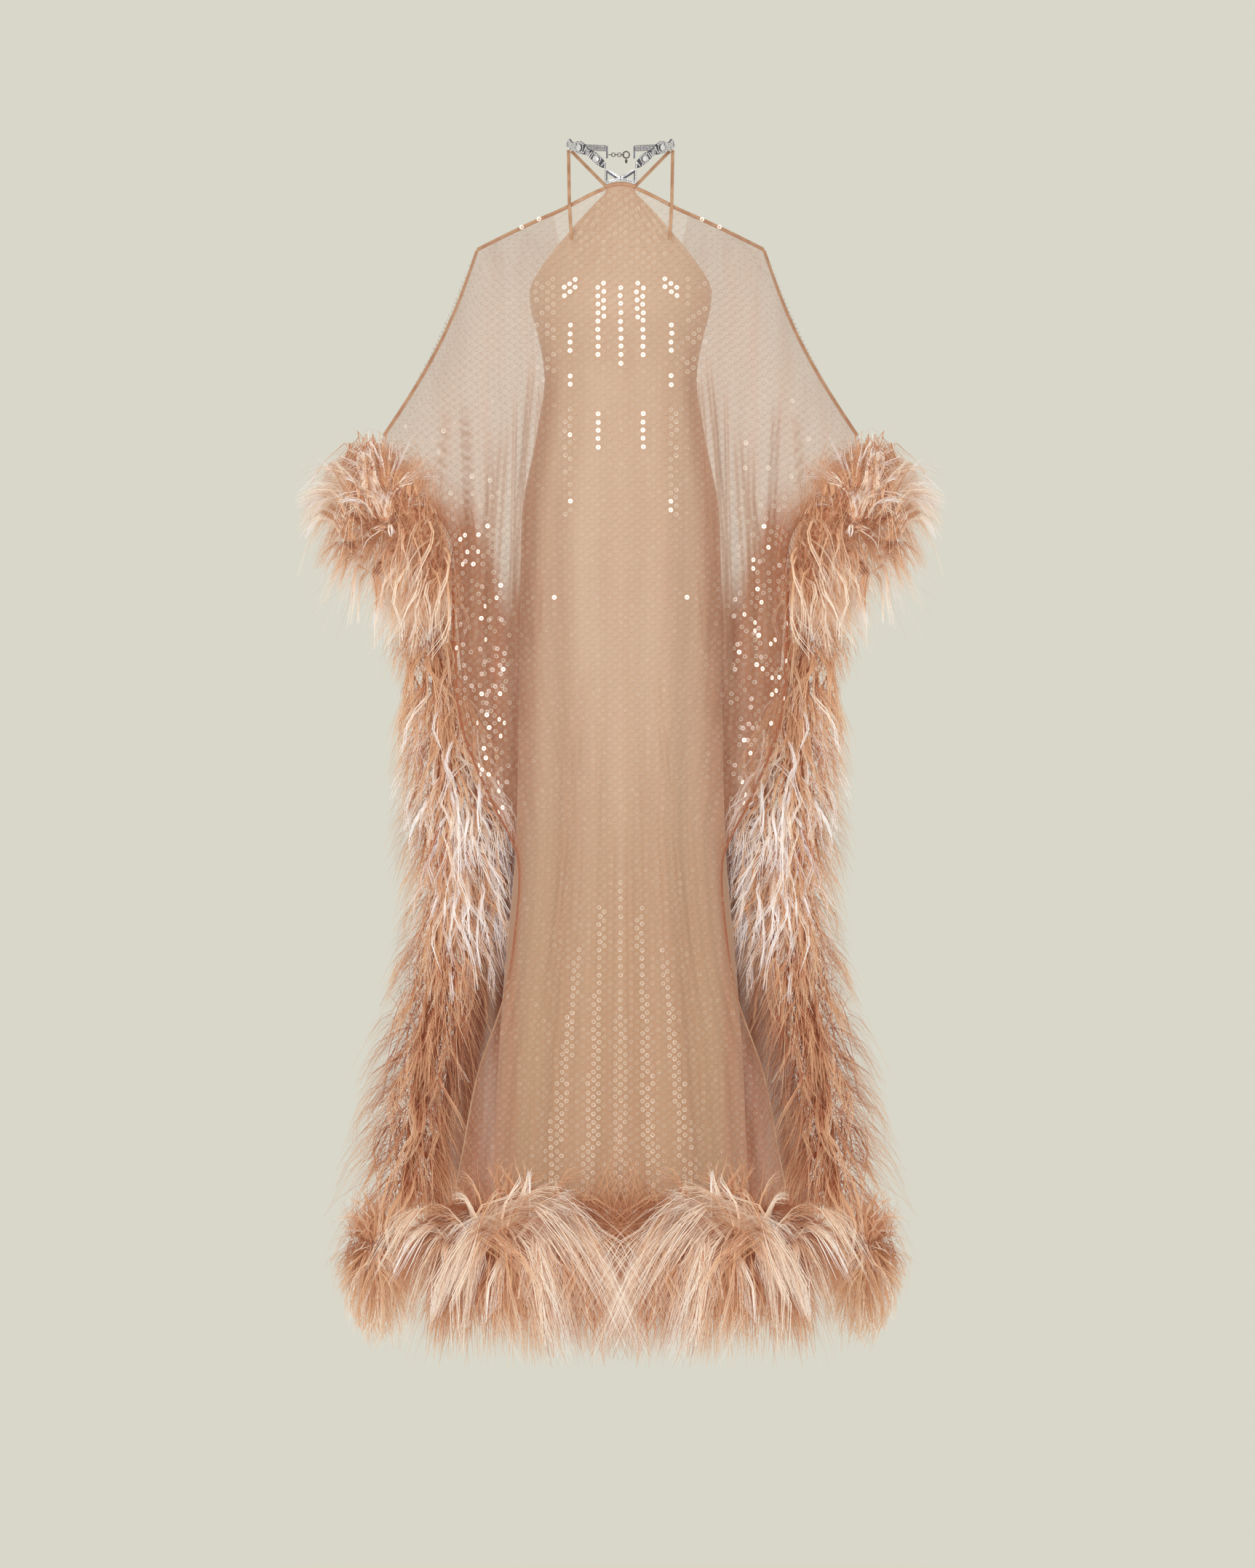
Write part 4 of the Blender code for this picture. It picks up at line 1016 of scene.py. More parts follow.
def front_hem_growth(middle, out, radius, rng, long):
    """A fountain of long locks from each fan's heart, a short curled fringe under it, and
    a soft skirt of feathers behind."""
    from_heart = (middle.x - FAN_X) / FAN_BREADTH
    if out.y > 0.35:
        return None
    if long and rng.random() < 0.80:
        return fountain_lock(rng, radius)
    if long:
        start = middle + Vector((rng.normal(0, 0.01), -radius * rng.uniform(0.5, 1.2),
                                 -radius * rng.uniform(-1.1, 1.0)))
        tip = start + Vector((rng.normal(0, 0.028) + from_heart * 0.02, -0.008,
                              -rng.uniform(0.045, 0.100)))
        return start, tip, rng.uniform(0.1, 0.4), rng.uniform(0.25, 0.80)
    fall = rng.uniform(0.040, 0.118) if out.z < 0.3 else rng.uniform(-0.045, 0.060)
    tip = middle + out * (radius + 0.020) + Vector(
        (from_heart * 0.045 + rng.normal(0, 0.015), -0.012, -fall))
    tip.x = min(tip.x, 0.272 + rng.normal(0, 0.006))
    if out.z > 0:
        tip.z += 0.034 * rising(middle.x, 0.085, -0.05)
    # The soft skirt behind is dark, partly painted shade under the locks
    return middle + out * radius * 0.6, tip, rng.uniform(0.3, 0.6), rng.uniform(0.0, 0.40)


def back_hem_growth(middle, out, radius, rng, long):
    """Feathers that hang down and backward, and spread outward at the corners."""
    if out.y < -0.3:
        return None
    fall = rng.uniform(0.045, 0.110) if out.z < 0.3 else rng.uniform(-0.045, 0.050)
    aside = rng.normal(0, 0.015) + 0.040 * rising(middle.x, 0.230, 0.060)
    tip = middle + out * (radius + 0.035) + Vector((aside, 0.015, -fall))
    shade = rng.uniform(0.70, 0.98) if long else rng.uniform(0.36, 0.56)
    return middle + out * radius * (1.0 if long else 0.6), tip, rng.uniform(0.3, 0.7), shade


def across_of(way, rng):
    """A direction square to another one."""
    found = Vector(rng.normal(0, 1, 3))
    return (found - way * found.dot(way)).normalized()


def plumes(path, radius, growth, locks, strands, seed, limits=None):
    """Roots and lines of a trim's strands: a soft pile, and curled locks over it.

    locks and strands each give the number for the pile and for the curled locks. growth
    gives a lock's start, tip, droop and shade, and its curl if it has one of its own, or
    None where no lock grows.
    """
    rng = np.random.default_rng(seed)
    length, point_at = measured(path)
    rows = []
    for long in (False, True):
        root_spread, tip_spread = (0.0011, 0.016) if long else (0.0100, 0.18)
        for k in range(locks[long]):
            at = length * (k + rng.random()) / locks[long]
            middle = point_at(at)
            along = (point_at(at + 0.01) - point_at(at - 0.01)).normalized()
            aside = along.orthogonal().normalized()
            turn = rng.uniform(0, math.tau)
            out = aside * math.cos(turn) + along.cross(aside) * math.sin(turn)
            grown = growth(middle, out, radius, rng, long)
            if grown is None:
                continue
            start, tip, droop, shade, *curl = grown
            way, reach = (tip - start).normalized(), (tip - start).length
            sideways = curl[0] if curl else (
                across_of(way, rng) * reach * (rng.uniform(0.25, 0.70) if long else 0.10))
            sway = across_of(way, rng) * reach * (rng.uniform(0.05, 0.12) if long else 0.03)
            bend = sideways - Z * droop * reach
            for _ in range(strands[long]):
                root = start + Vector(rng.normal(0, root_spread, 3))
                end = tip + Vector(rng.normal(0, tip_spread * reach, 3))
                rows.append((
                    root, (end - root) * rng.uniform(0.82, 1.04) - bend,
                    bend * rng.uniform(0.92, 1.08), sway * rng.uniform(0.8, 1.2),
                    min(1.3, max(0.0, shade + rng.normal(0, 0.05))),
                    rng.uniform(0.0010, 0.0018) * (1.3 if long else 1.0)))
    names = ("root", "reach", "bend", "wave", "tint", "breadth")
    found = {name: np.array([tuple(v) if isinstance(v, Vector) else v for v in values])
             for name, values in zip(names, zip(*rows))}
    if limits:
        within_limits(found, limits, rng)
    return within_box(found)


def within_limits(found, limits, rng):
    """Moves the tips between the lines that bound the trim on its two sides."""
    tip = found["root"] + found["reach"] + found["bend"]
    inner, outer = (np.interp(-tip[:, 2], limits["down"], limits[name])
                    for name in ("inner", "outer"))
    loose = rng.normal(0, LOOSE_LIMIT, len(tip))
    found["reach"][:, 0] += np.clip(tip[:, 0], inner + loose, outer + loose) - tip[:, 0]


def within_box(found):
    """Shortens the strands that would reach past the gown's solids."""
    low, high = np.array(BOX[0]) - BOX_ROOM, np.array(BOX[1]) + BOX_ROOM
    for _ in range(8):
        tip = found["root"] + found["reach"] + found["bend"]
        room = np.abs(found["wave"])
        over = ((tip - room < low) | (tip + room > high)).any(axis=1)
        found["reach"][over] *= 0.88
        found["bend"][over] *= 0.88
    return found


def strand_growth(material):
    """Narrow ribbons that leave their roots, bend down, wave a little and taper."""
    tree = Growth("Feather strands", points_along=6, taper=0.80, waves=5.8)
    line = tree.node("GeometryNodeCurvePrimitiveLine", None, {"End": (0.0, 0.0, 0.01)})
    line = tree.node("GeometryNodeResampleCurve", {"mode": "COUNT"},
                     {"Curve": line, "Count": tree.inputs["points_along"]})
    many = tree.node("GeometryNodeRealizeInstances", None, {0: tree.planted(line)})
    t = tree.node("GeometryNodeSplineParameter")
    place = tree.named_value("root")
    for name, share in (("reach", t), ("bend", t * t),
                        ("wave", tree.math("SINE", t * tree.inputs["waves"]))):
        place = tree.vectors("ADD", place, tree.stretched(tree.named_value(name), share))
    many = tree.node("GeometryNodeSetPosition", None, {"Geometry": many, "Position": place})
    many = tree.stored(many, "along", t)
    thin = tree.named_value("breadth", "FLOAT") * (1.0 - t * tree.inputs["taper"])
    flat = tree.node("GeometryNodeCurvePrimitiveLine", None,
                     {"Start": (-0.5, 0.0, 0.0), "End": (0.5, 0.0, 0.0)})
    ribbons = tree.node("GeometryNodeCurveToMesh", None,
                        {"Curve": many, "Profile Curve": flat, "Scale": thin})
    return tree.finished(ribbons, material)


def feather_finish(colours):
    """Peach pile and pale curled locks, darker at their roots, partly in their own tone
    and partly as painted shade, and with a painted glow for light through them.
    """
    finish = Finish("ostrich_strands", roughness=0.85, emission_strength=0.09)
    tint, along = finish.attribute("tint"), finish.attribute("along")
    # Painted shade towards the roots and paler tips, partly the feathers' own tone
    shade = tint + (along - 0.50) * 0.50
    dark = finish.blend(shade.rise(0.05, 0.45), colours.feather_dark_and_shade, colours.feather)
    pale = finish.blend(shade.rise(0.50, 0.95), dark, colours.feather_pale)
    colour = finish.blend(shade.rise(1.00, 1.20), pale, colours.feather_white)
    finish.feed("Base Color", colour)
    # Painted glow: the strands give off a little of their own colour
    finish.feed("Emission Color", colour)
    return finish.material


def core_finish(colours):
    """The cores' cloudy peach, in the strands' darker shades."""
    finish = Finish("feather_core", roughness=0.9)
    cloudy = finish.noise(finish.place(), 160.0)
    shade = finish.blend(cloudy.rise(0.3, 0.7), colours.feather_dark_and_shade, colours.feather)
    finish.feed("Base Color", shade)
    finish.bump(cloudy, 0.002)
    return finish.material


def swept(name, centres, ring_at, material, closed=False):
    """A tube through rings of points set round a path."""
    bm = bmesh.new()
    last = len(centres) - 1
    rings = []
    for i, centre in enumerate(centres):
        before, after = (i - 1, (i + 1) % len(centres)) if closed else (
            max(i - 1, 0), min(i + 1, last))
        along = (centres[after] - centres[before]).normalized()
        rings.append([bm.verts.new(p) for p in ring_at(i, centre, along)])
    for first, second in zip(rings, rings[1:] + (rings[:1] if closed else [])):
        for a, b, c, d in zip(first, first[1:] + first[:1], second[1:] + second[:1], second):
            bm.faces.new((a, b, c, d))
    if not closed:
        bm.faces.new(rings[0])
        bm.faces.new(rings[-1])
    bmesh.ops.recalc_face_normals(bm, faces=bm.faces[:])
    if bm.calc_volume(signed=True) < 0:
        bmesh.ops.reverse_faces(bm, faces=bm.faces[:])
    mesh = bpy.data.meshes.new(name)
    bm.to_mesh(mesh)
    bm.free()
    mesh.materials.append(material)
    mesh.shade_smooth()
    mesh.set_sharp_from_angle(angle=math.radians(55))
    return mesh


def core_mesh(name, path, radius, material):
    """The sewn core that the strands leave, seen only between them."""
    def ring(i, centre, along):
        aside = along.orthogonal().normalized()
        ends = math.sin(math.pi * (i + 0.8) / (len(path) + 0.6)) ** 0.35
        return circle(centre, aside, along.cross(aside), radius * 0.5 * ends, 10)
    return swept(name, path, ring, material)


# Tapes and straps

TAPE_THICK, STRAP_THICK, BAND_THICK = 0.0016, 0.0012, 0.0022
TAPE_OVERHANG, STITCH_LIFT = 0.0004, 0.0026
BAND_WIDTH, BAND_LIFT = 0.0054, 0.0056


def flat_ring(centre, wide, thick, width, thickness):
    """A ring with round edges, for a folded tape."""
    points = []
    for k in range(10):
        c, s = math.cos(k * math.tau / 10), math.sin(k * math.tau / 10)
        across, up = math.copysign(abs(c) ** 0.55, c), math.copysign(abs(s) ** 0.75, s)
        points.append(centre + wide * across * width / 2 + thick * up * thickness / 2)
    return points


def tape_mesh(name, edge, within, width, material):
    """A tape folded over a panel's edge, from the edge towards the points within."""
    sides = [(inner - point).normalized() for point, inner in zip(edge, within)]
    centres = [point + inward * (width / 2 - TAPE_OVERHANG) - Y * TAPE_THICK
               for point, inward in zip(edge, sides)]

    def ring(i, centre, along):
        wide = (sides[i] - along * along.dot(sides[i])).normalized()
        return flat_ring(centre, wide, along.cross(wide), width, TAPE_THICK)
    return swept(name, centres, ring, material)


def strap_mesh(name, points, across, width, material):
    """A flat ribbon through its points, on a smooth line."""
    line = [first.lerp(second, k / 12) for first, second in zip(points, points[1:])
            for k in range(12)] + [points[-1]]
    for _ in range(3):
        line[1:-1] = [(a + b * 2 + c) / 4 for a, b, c in zip(line, line[1:], line[2:])]

    def ring(i, centre, along):
        wide = (across - along * across.dot(along)).normalized()
        return flat_ring(centre, wide, along.cross(wide), width, STRAP_THICK)
    return swept(name, line, ring, material)


def tape_finish(name, first, second, deep_shade=None):
    """Satin tape: fine ribs, patches of a darker tone at random, and painted shade where
    the net bunches.
    """
    finish = Finish(name, roughness=0.45, sheen_weight=0.10, sheen_roughness=0.3)
    place = finish.place()
    # Patches of the darker tone, at random
    worn = finish.noise(place, 55.0, 3.0)
    colour = finish.blend(worn.rise(0.35, 0.70), first, second)
    if deep_shade:
        down = finish.down(place)
        # Painted shade: the side binding turns deep tan where the net bunches behind it
        bunched_shade = down.rise(0.42, 0.60) * (1.0 - down.rise(1.02, 1.14))
        colour = finish.blend(bunched_shade, colour, deep_shade)
    finish.feed("Base Color", colour)
    finish.bump(finish.grain(place, (1500.0, 1500.0, 1500.0)), 0.0002, 0.6)
    return finish.material


def stitch_growth(material):
    """Short stitches, one on each point, turned along the seam."""
    tree = Growth("Stitches", length=0.0016, thickness=0.00035)
    thread = tree.node("GeometryNodeMeshCylinder", {"fill_type": "TRIANGLE_FAN"},
                       {"Vertices": 5, "Radius": tree.inputs["thickness"],
                        "Depth": tree.inputs["length"]})
    return tree.finished(tree.planted(thread, Rotation=tree.named_value("turn")), material)


def stitches_along(edge, within, inset, pitch):
    """Points and turns of a row of stitches, set in from an edge."""
    length, point_at = measured([p + (q - p).normalized() * inset - Y * STITCH_LIFT
                                 for p, q in zip(edge, within)])
    places = [k * pitch for k in range(1, int(length / pitch))]
    return ([point_at(at) for at in places],
            [facing(point_at(at + 0.001) - point_at(at)) for at in places])


# The crystal collar

STONE_PITCH, STONE_HALF, STONE_DEPTH = 0.0022, 0.00104, 0.0009
BAR_HALF, COLLAR_STEP, STONE_MARGIN = 0.00058, 1.95, 0.0003
# Long stones stand where the collar is wider than this, and round a large stone in a fan
# that reaches this far past it
FAN_WIDE, FAN_REACH, FAN_COUNT = 0.0105, 0.0050, 18
INSIDE_FROM = 96
# Rows of stones on one side's triangle over the neck band: distance out, and height
POINT_LINES = [
    ((0.0195, -0.0366), (0.0, -0.0325)), ((0.0195, -0.0347), (0.0012, -0.0307)),
    ((0.0195, -0.0330), (0.0195, -0.0192)), ((0.0180, -0.0196), (0.0030, -0.0294)),
    ((0.0162, -0.0193), (0.0016, -0.0287))]


def set_stones(tree, shape, material):
    """Ends a tree with its stone on each point, turned and sized as the point says."""
    many = tree.planted(
        shape, Rotation=tree.named_value("turn"), Scale=tree.named_value("size"))
    return tree.finished(many, material)


def stone_growth(material):
    """Cut stones with a flat table."""
    tree = Growth("Cut stones", sides=8, height=0.55, table=0.55)
    cut = tree.node("GeometryNodeMeshCone", {"fill_type": "TRIANGLE_FAN"},
                    {"Vertices": tree.inputs["sides"], "Radius Bottom": 1.0,
                     "Radius Top": tree.inputs["table"], "Depth": tree.inputs["height"]})
    return set_stones(tree, cut, material)


def bar_growth(material):
    """Long cut stones."""
    tree = Growth("Long stones", depth=1.0)
    size = tree.joined(2.0, 2.0, tree.inputs["depth"])
    return set_stones(tree, tree.node("GeometryNodeMeshCube", None, {"Size": size}), material)


def collar_stones(sign):
    """One side's stones, round ones and then bars: each kind's places, turns and sizes."""
    stones, bars = ([], [], []), ([], [], [])

    def add(turn, z, lift, across, tall, kind=stones, tilt=0.0, inward=False):
        out = on_ring(sign * turn, 0).normalized() * (-1 if inward else 1)
        radius = NECK_RADIUS - 0.0001 if inward else NECK_RADIUS + COLLAR_THICK + lift
        turned = out.to_track_quat("Z", "Y").to_matrix() @ Matrix.Rotation(tilt, 3, "Z")
        kind[0].append(on_ring(sign * turn, z, radius))
        kind[1].append(tuple(turned.to_euler()))
        kind[2].append((across, tall, STONE_DEPTH))

    def leaning(turn):
        rise = column(COLLAR, "z", turn + 1, "turn") - column(COLLAR, "z", turn - 1, "turn")
        return math.atan(rise / math.radians(2) / NECK_RADIUS)

    turn = COLLAR["turn"][0] + 0.6
    while turn < COLLAR["turn"][-1] - 0.4:
        z, wide = column(COLLAR, "z", turn, "turn"), column(COLLAR, "wide", turn, "turn")
        beside = min(math.radians(abs(turn - at)) * NECK_RADIUS - radius
                     for at, radius in zip(*ROSETTES.values()))
        if wide <= FAN_WIDE:
            rows = max(2, round((wide - 0.0004) / STONE_PITCH))
            for k in range(rows):
                add(turn, z + (k - (rows - 1) / 2) * STONE_PITCH, 0.0, 0.00108, STONE_HALF)
        elif beside > 0.0024:
            lean = leaning(turn)
            tall = (wide / 2 - STONE_MARGIN) * math.cos(lean)
            add(turn, z, 0.0, BAR_HALF, tall, bars, sign * lean)
        if turn > INSIDE_FROM:
            for k in (-1, 0, 1):
                add(turn, z + k * STONE_PITCH, 0.0, STONE_HALF, STONE_HALF, inward=True)
        turn += COLLAR_STEP
    for at, radius in zip(*ROSETTES.values()):
        z, wide = column(COLLAR, "z", at, "turn"), column(COLLAR, "wide", at, "turn")
        lean = leaning(at)
        for k in range(FAN_COUNT):
            spin = (k + 0.5) * math.tau / FAN_COUNT
            rise = abs(math.sin(spin - lean))
            edge = min((wide * math.cos(lean) / 2 - STONE_MARGIN) / max(rise, 0.1),
                       radius + FAN_REACH)
            half = (edge - radius - STONE_MARGIN) / 2
            ring = edge - half if rise > 0.5 else radius + 0.0011
            place = (at + math.degrees(ring * math.cos(spin) / NECK_RADIUS),
                     z + ring * math.sin(spin))
            if rise > 0.5:
                add(*place, 0.0, BAR_HALF, half, bars,
                    math.atan2(-sign * math.cos(spin), math.sin(spin)))
            else:
                add(*place, 0.0003, 0.0009, 0.0009)
    return stones, bars


def point_stones():
    """Rows of stones along the sides of the two triangles over the neck band."""
    places, turns, sizes = [], [], []
    for start, end in POINT_LINES:
        count = max(2, round(math.dist(start, end) / 0.0019))
        for across, z in zip(spread(count, start[0], end[0]), spread(count, start[1], end[1])):
            for x in (-across, across):
                y = -math.sqrt((BAND_RADIUS + 0.0005) ** 2 - x**2) - COLLAR_THICK / 2 - 0.0002
                places.append((x, y, z))
                turns.append(facing(Vector((x, y, 0)).normalized()))
                sizes.append((0.00100, 0.00100, 0.0008))
    return places, turns, sizes


def crystal_finish(colours):
    """Bright cut stones with painted darker glints and a faint painted glow."""
    finish = Finish("cut_crystal", metallic=0.35, roughness=0.12, coat_weight=0.5,
                    emission_strength=0.10)
    # Painted reflections: dark glints spotted over the stones
    painted_glint_spots = finish.noise(finish.place(), 1500.0, 1.0)
    colour = finish.blend(painted_glint_spots.rise(0.36, 0.58), colours.crystal_shade, colours.crystal)
    finish.feed("Base Color", colour)
    # Painted glow: the stones give off a little of their own colour
    finish.feed("Emission Color", colour)
    return finish.material


def metal_finish(name, colour, shade, roughness, metallic):
    """Worn metal, in two shades."""
    finish = Finish(name, metallic=metallic, roughness=roughness)
    worn = finish.noise(finish.place(), 420.0, 3.0)
    finish.feed("Base Color", finish.blend(worn.rise(0.35, 0.65), colour, shade))
    finish.bump(worn, 0.0001, 0.5)
    return finish.material


def ring_mesh(name, node, wire, material):
    """A smooth ring of round wire, in the place and plane of a solid ring."""
    low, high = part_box(node)
    centre, size = (low + high) / 2, high - low
    other, aside = (Y, Z) if size.z < size.y else (Z, Y)
    path = circle(centre, X, other, size.x / 2 - wire, 32)

    def ring(i, point, along):
        return circle(point, (point - centre).normalized(), aside, wire, 8)
    return swept(name, path, ring, material, closed=True)


# Sizes and colours that a user may change

def tint(red, green, blue):
    """A colour as it is seen on screen, in the renderer's own linear scale."""
    return tuple(
        c / 12.92 if c <= 0.04045 else ((c + 0.055) / 1.055) ** 2.4
        for c in (red / 255, green / 255, blue / 255))


def length_of(name, description, default, top):
    """A length that a user may change, in metres."""
    return bpy.props.FloatProperty(
        name=name, description=description, default=default, min=0.0001, max=top,
        precision=4, subtype="DISTANCE", unit="LENGTH")


def shade_of(name, description, red, green, blue):
    """A colour that a user may change."""
    return bpy.props.FloatVectorProperty(
        name=name, description=description, default=tint(red, green, blue),
        size=3, min=0.0, max=1.0, subtype="COLOR")


class GownSizes(bpy.types.PropertyGroup):
    """Sizes of the gown's trimmings."""

    sequin_radius: length_of("Sequin radius", "Radius of one clear sequin", 0.0031, 0.01)
    column_pitch: length_of("Column pitch", "Between two columns of sequins", 0.0073, 0.03)
    row_pitch: length_of("Row pitch", "Between two sequins of a column", 0.0109, 0.03)
    tape_width: length_of("Binding width", "Width of the bound edges", 0.0055, 0.02)
    ribbon_width: length_of("Strap width", "Width of the neck and slip straps", 0.0044, 0.02)
    stitch_pitch: length_of("Stitch pitch", "Between two stitches of a binding", 0.0030, 0.02)
    net_cover: bpy.props.FloatProperty(
        name="Net cover", description="How much one layer of the net hides",
        default=0.19, min=0.02, max=0.95, subtype="FACTOR")
    strands_per_lock: bpy.props.IntProperty(
        name="Strands per lock", description="Feather strands that draw together in a lock",
        default=12, min=4, max=40)


class GownColours(bpy.types.PropertyGroup):
    """Colours of the gown's cloths, feathers, metal and studio."""

    slip: shade_of("Slip", "Jersey at the bust", 213, 190, 168)
    slip_low: shade_of("Slip, low", "Jersey in the skirt", 198, 167, 135)
    # Painted shade of the slip's sides, also the tone of its random clouds
    slip_side_shade_and_cloud: shade_of("Slip, sides", "Jersey where it turns away", 184, 145, 120)
    net: shade_of("Net", "Sheer net over the skin tone", 214, 158, 130)
    tan: shade_of("Net, gathered", "Net where it gathers in folds", 202, 138, 100)
    # Painted shade along the net's creases
    pleat_shade: shade_of("Net, pleated", "Net along its creases", 168, 128, 102)
    # Painted shade, where the net bunches behind the arms and on the side binding
    tan_shadow: shade_of("Net, bunched", "Net where it bunches behind the arms", 174, 92, 56)
    # The colour of the painted glints
    sequin: shade_of("Sequin", "Sequins that catch the light", 240, 224, 208)
    # Painted shade at the lower rim of the clear sequins
    sequin_rim_shade: shade_of("Sequin rim", "Rims of the clear sequins", 138, 100, 82)
    tape: shade_of("Binding", "Satin tape and straps", 200, 158, 127)
    # The binding's darker tone, in random patches, and the stitches' thread
    tape_darker: shade_of("Binding, shaded", "Satin tape in its drawn places", 176, 126, 96)
    feather: shade_of("Feather", "Middle of the strands", 226, 182, 146)
    # The strands' darkest tone: partly their own, partly painted shade at roots and in gaps
    feather_dark_and_shade: shade_of("Feather root", "Roots of the strands", 188, 120, 88)
    feather_pale: shade_of("Feather tip", "Pale tips of the strands", 250, 238, 226)
    feather_white: shade_of("Feather, white", "White locks of the sides", 250, 247, 250)
    crystal: shade_of("Crystal", "Cut stones", 250, 250, 252)
    # Painted reflections: the dark glints in the stones
    crystal_shade: shade_of("Crystal shade", "Dark glints in the stones", 150, 148, 156)
    setting: shade_of("Setting", "Metal behind the stones", 74, 66, 68)
    metal: shade_of("Chain", "Chain and clasp", 122, 114, 112)
    slate: shade_of("End bars", "Slate metal of the collar's end bars", 86, 92, 106)
    studio: shade_of("Studio", "Floor and surroundings", 217, 215, 202)


# Operators

def palette():
    return bpy.context.scene.gown_colours


def sizes():
    return bpy.context.scene.gown_sizes


class KAFTAN_OT_slip(bpy.types.Operator):
    """Makes the jersey slip: a halter front gathered to the neck band, and a low back"""

    bl_idname = "kaftan.slip"
    bl_label = "Slip"

    def execute(self, context):
        finish = slip_finish(palette())
        for name, side, hung in (("slip_front", FRONT, "neck_band"),
                                 ("slip_back", BACK, "slip_front")):
            rows, turned = slip_rows(side, *SLIP_GRID)
            mesh = cloth_mesh(name + "_cloth", rows, {"turned": turned}, finish)
            out_of_plane(mesh, side)
            made = piece(name + "_cloth", mesh, [name])
        return {"FINISHED"}


# Loose sequins on the shoulder's edge, with painted glints, and how a net's sequins lie
# on it; the back net's sequins with bright painted glints are turned forward, and lie
# inside it
STRAYS, STRAY_LIGHT, STRAY_SHIFT = (0.357, 0.427), 0.80, Vector((0, -0.0040, -0.0015))
SEQUIN_LIFT, SEQUIN_TILT, SEQUIN_SHIFT = 0.0011, 0.10, 0.0004
INNER_LIGHT, INNER_LIFT, INNER_TILT = 0.4, -0.0022, 1.5


class KAFTAN_OT_net(bpy.types.Operator):
    """Makes the sheer net panels, front and back, with their sequins"""

    bl_idname = "kaftan.net"
    bl_label = "Net and sequins"

    def execute(self, context):
        colours, size = palette(), sizes()
        rng = np.random.default_rng(7)
        tree = sequin_growth(sequin_finish(colours), size.sequin_radius)
        for name, side, tan_cover, hung in (
                ("kaftan_front", FRONT, 0.40, ["neck_band", "neck_strap_L"]),
                ("kaftan_back", BACK, 0.90, ["kaftan_front"])):
            rows, gathers = net_rows(side, *NET_GRID)
            values = {"gather": gathers, "bunched_shade": bunching_and_shade(rows, side)}
            finish = net_finish(name + "_net", colours, size.net_cover, tan_cover)
            mesh = cloth_mesh(name + "_net", rows, values, finish)
            out_of_plane(mesh, side)
            made = piece(name + "_net", mesh, [name])
            places, slopes, columns = sequin_places(rows, size.column_pitch, size.row_pitch)
            across, z = np.abs(places[:, 0]), places[:, 2]
            # Painted glints of the sides, the front's columns and the skirt's bands
            bright = sparks(SIDE_SPARKS, across, z, rng)
            if side == FRONT:
                bright = np.maximum(bright, sparks(FRONT_SPARKS, columns, z, rng))
                bright = np.maximum(bright, skirt_sparks(across, z, rng))
                strays = [net_point(sign * at, 0.0, FRONT)[0] + STRAY_SHIFT
                          for at in STRAYS for sign in (-1, 1)]
                places = np.concatenate([places, [tuple(point) for point in strays]])
                slopes += [-Y] * len(strays)
                bright = np.concatenate([bright, np.full(len(strays), STRAY_LIGHT)])
            within = (bright >= INNER_LIGHT) & (side == BACK)
            tilts = rng.normal(0, SEQUIN_TILT, places.shape)
            tilts[within, 1] += INNER_TILT
            ways, turns = turned_out(slopes, tilts, side)
            lift = np.where(within, INNER_LIFT, SEQUIN_LIFT)[:, None]
            places = places + ways * lift + rng.normal(0, SEQUIN_SHIFT, places.shape)
            sewn = piece(name + "_sequins", tree.grow(
                name + "_sequins", places, {"turn": turns, "painted_glint": bright}))
        return {"FINISHED"}


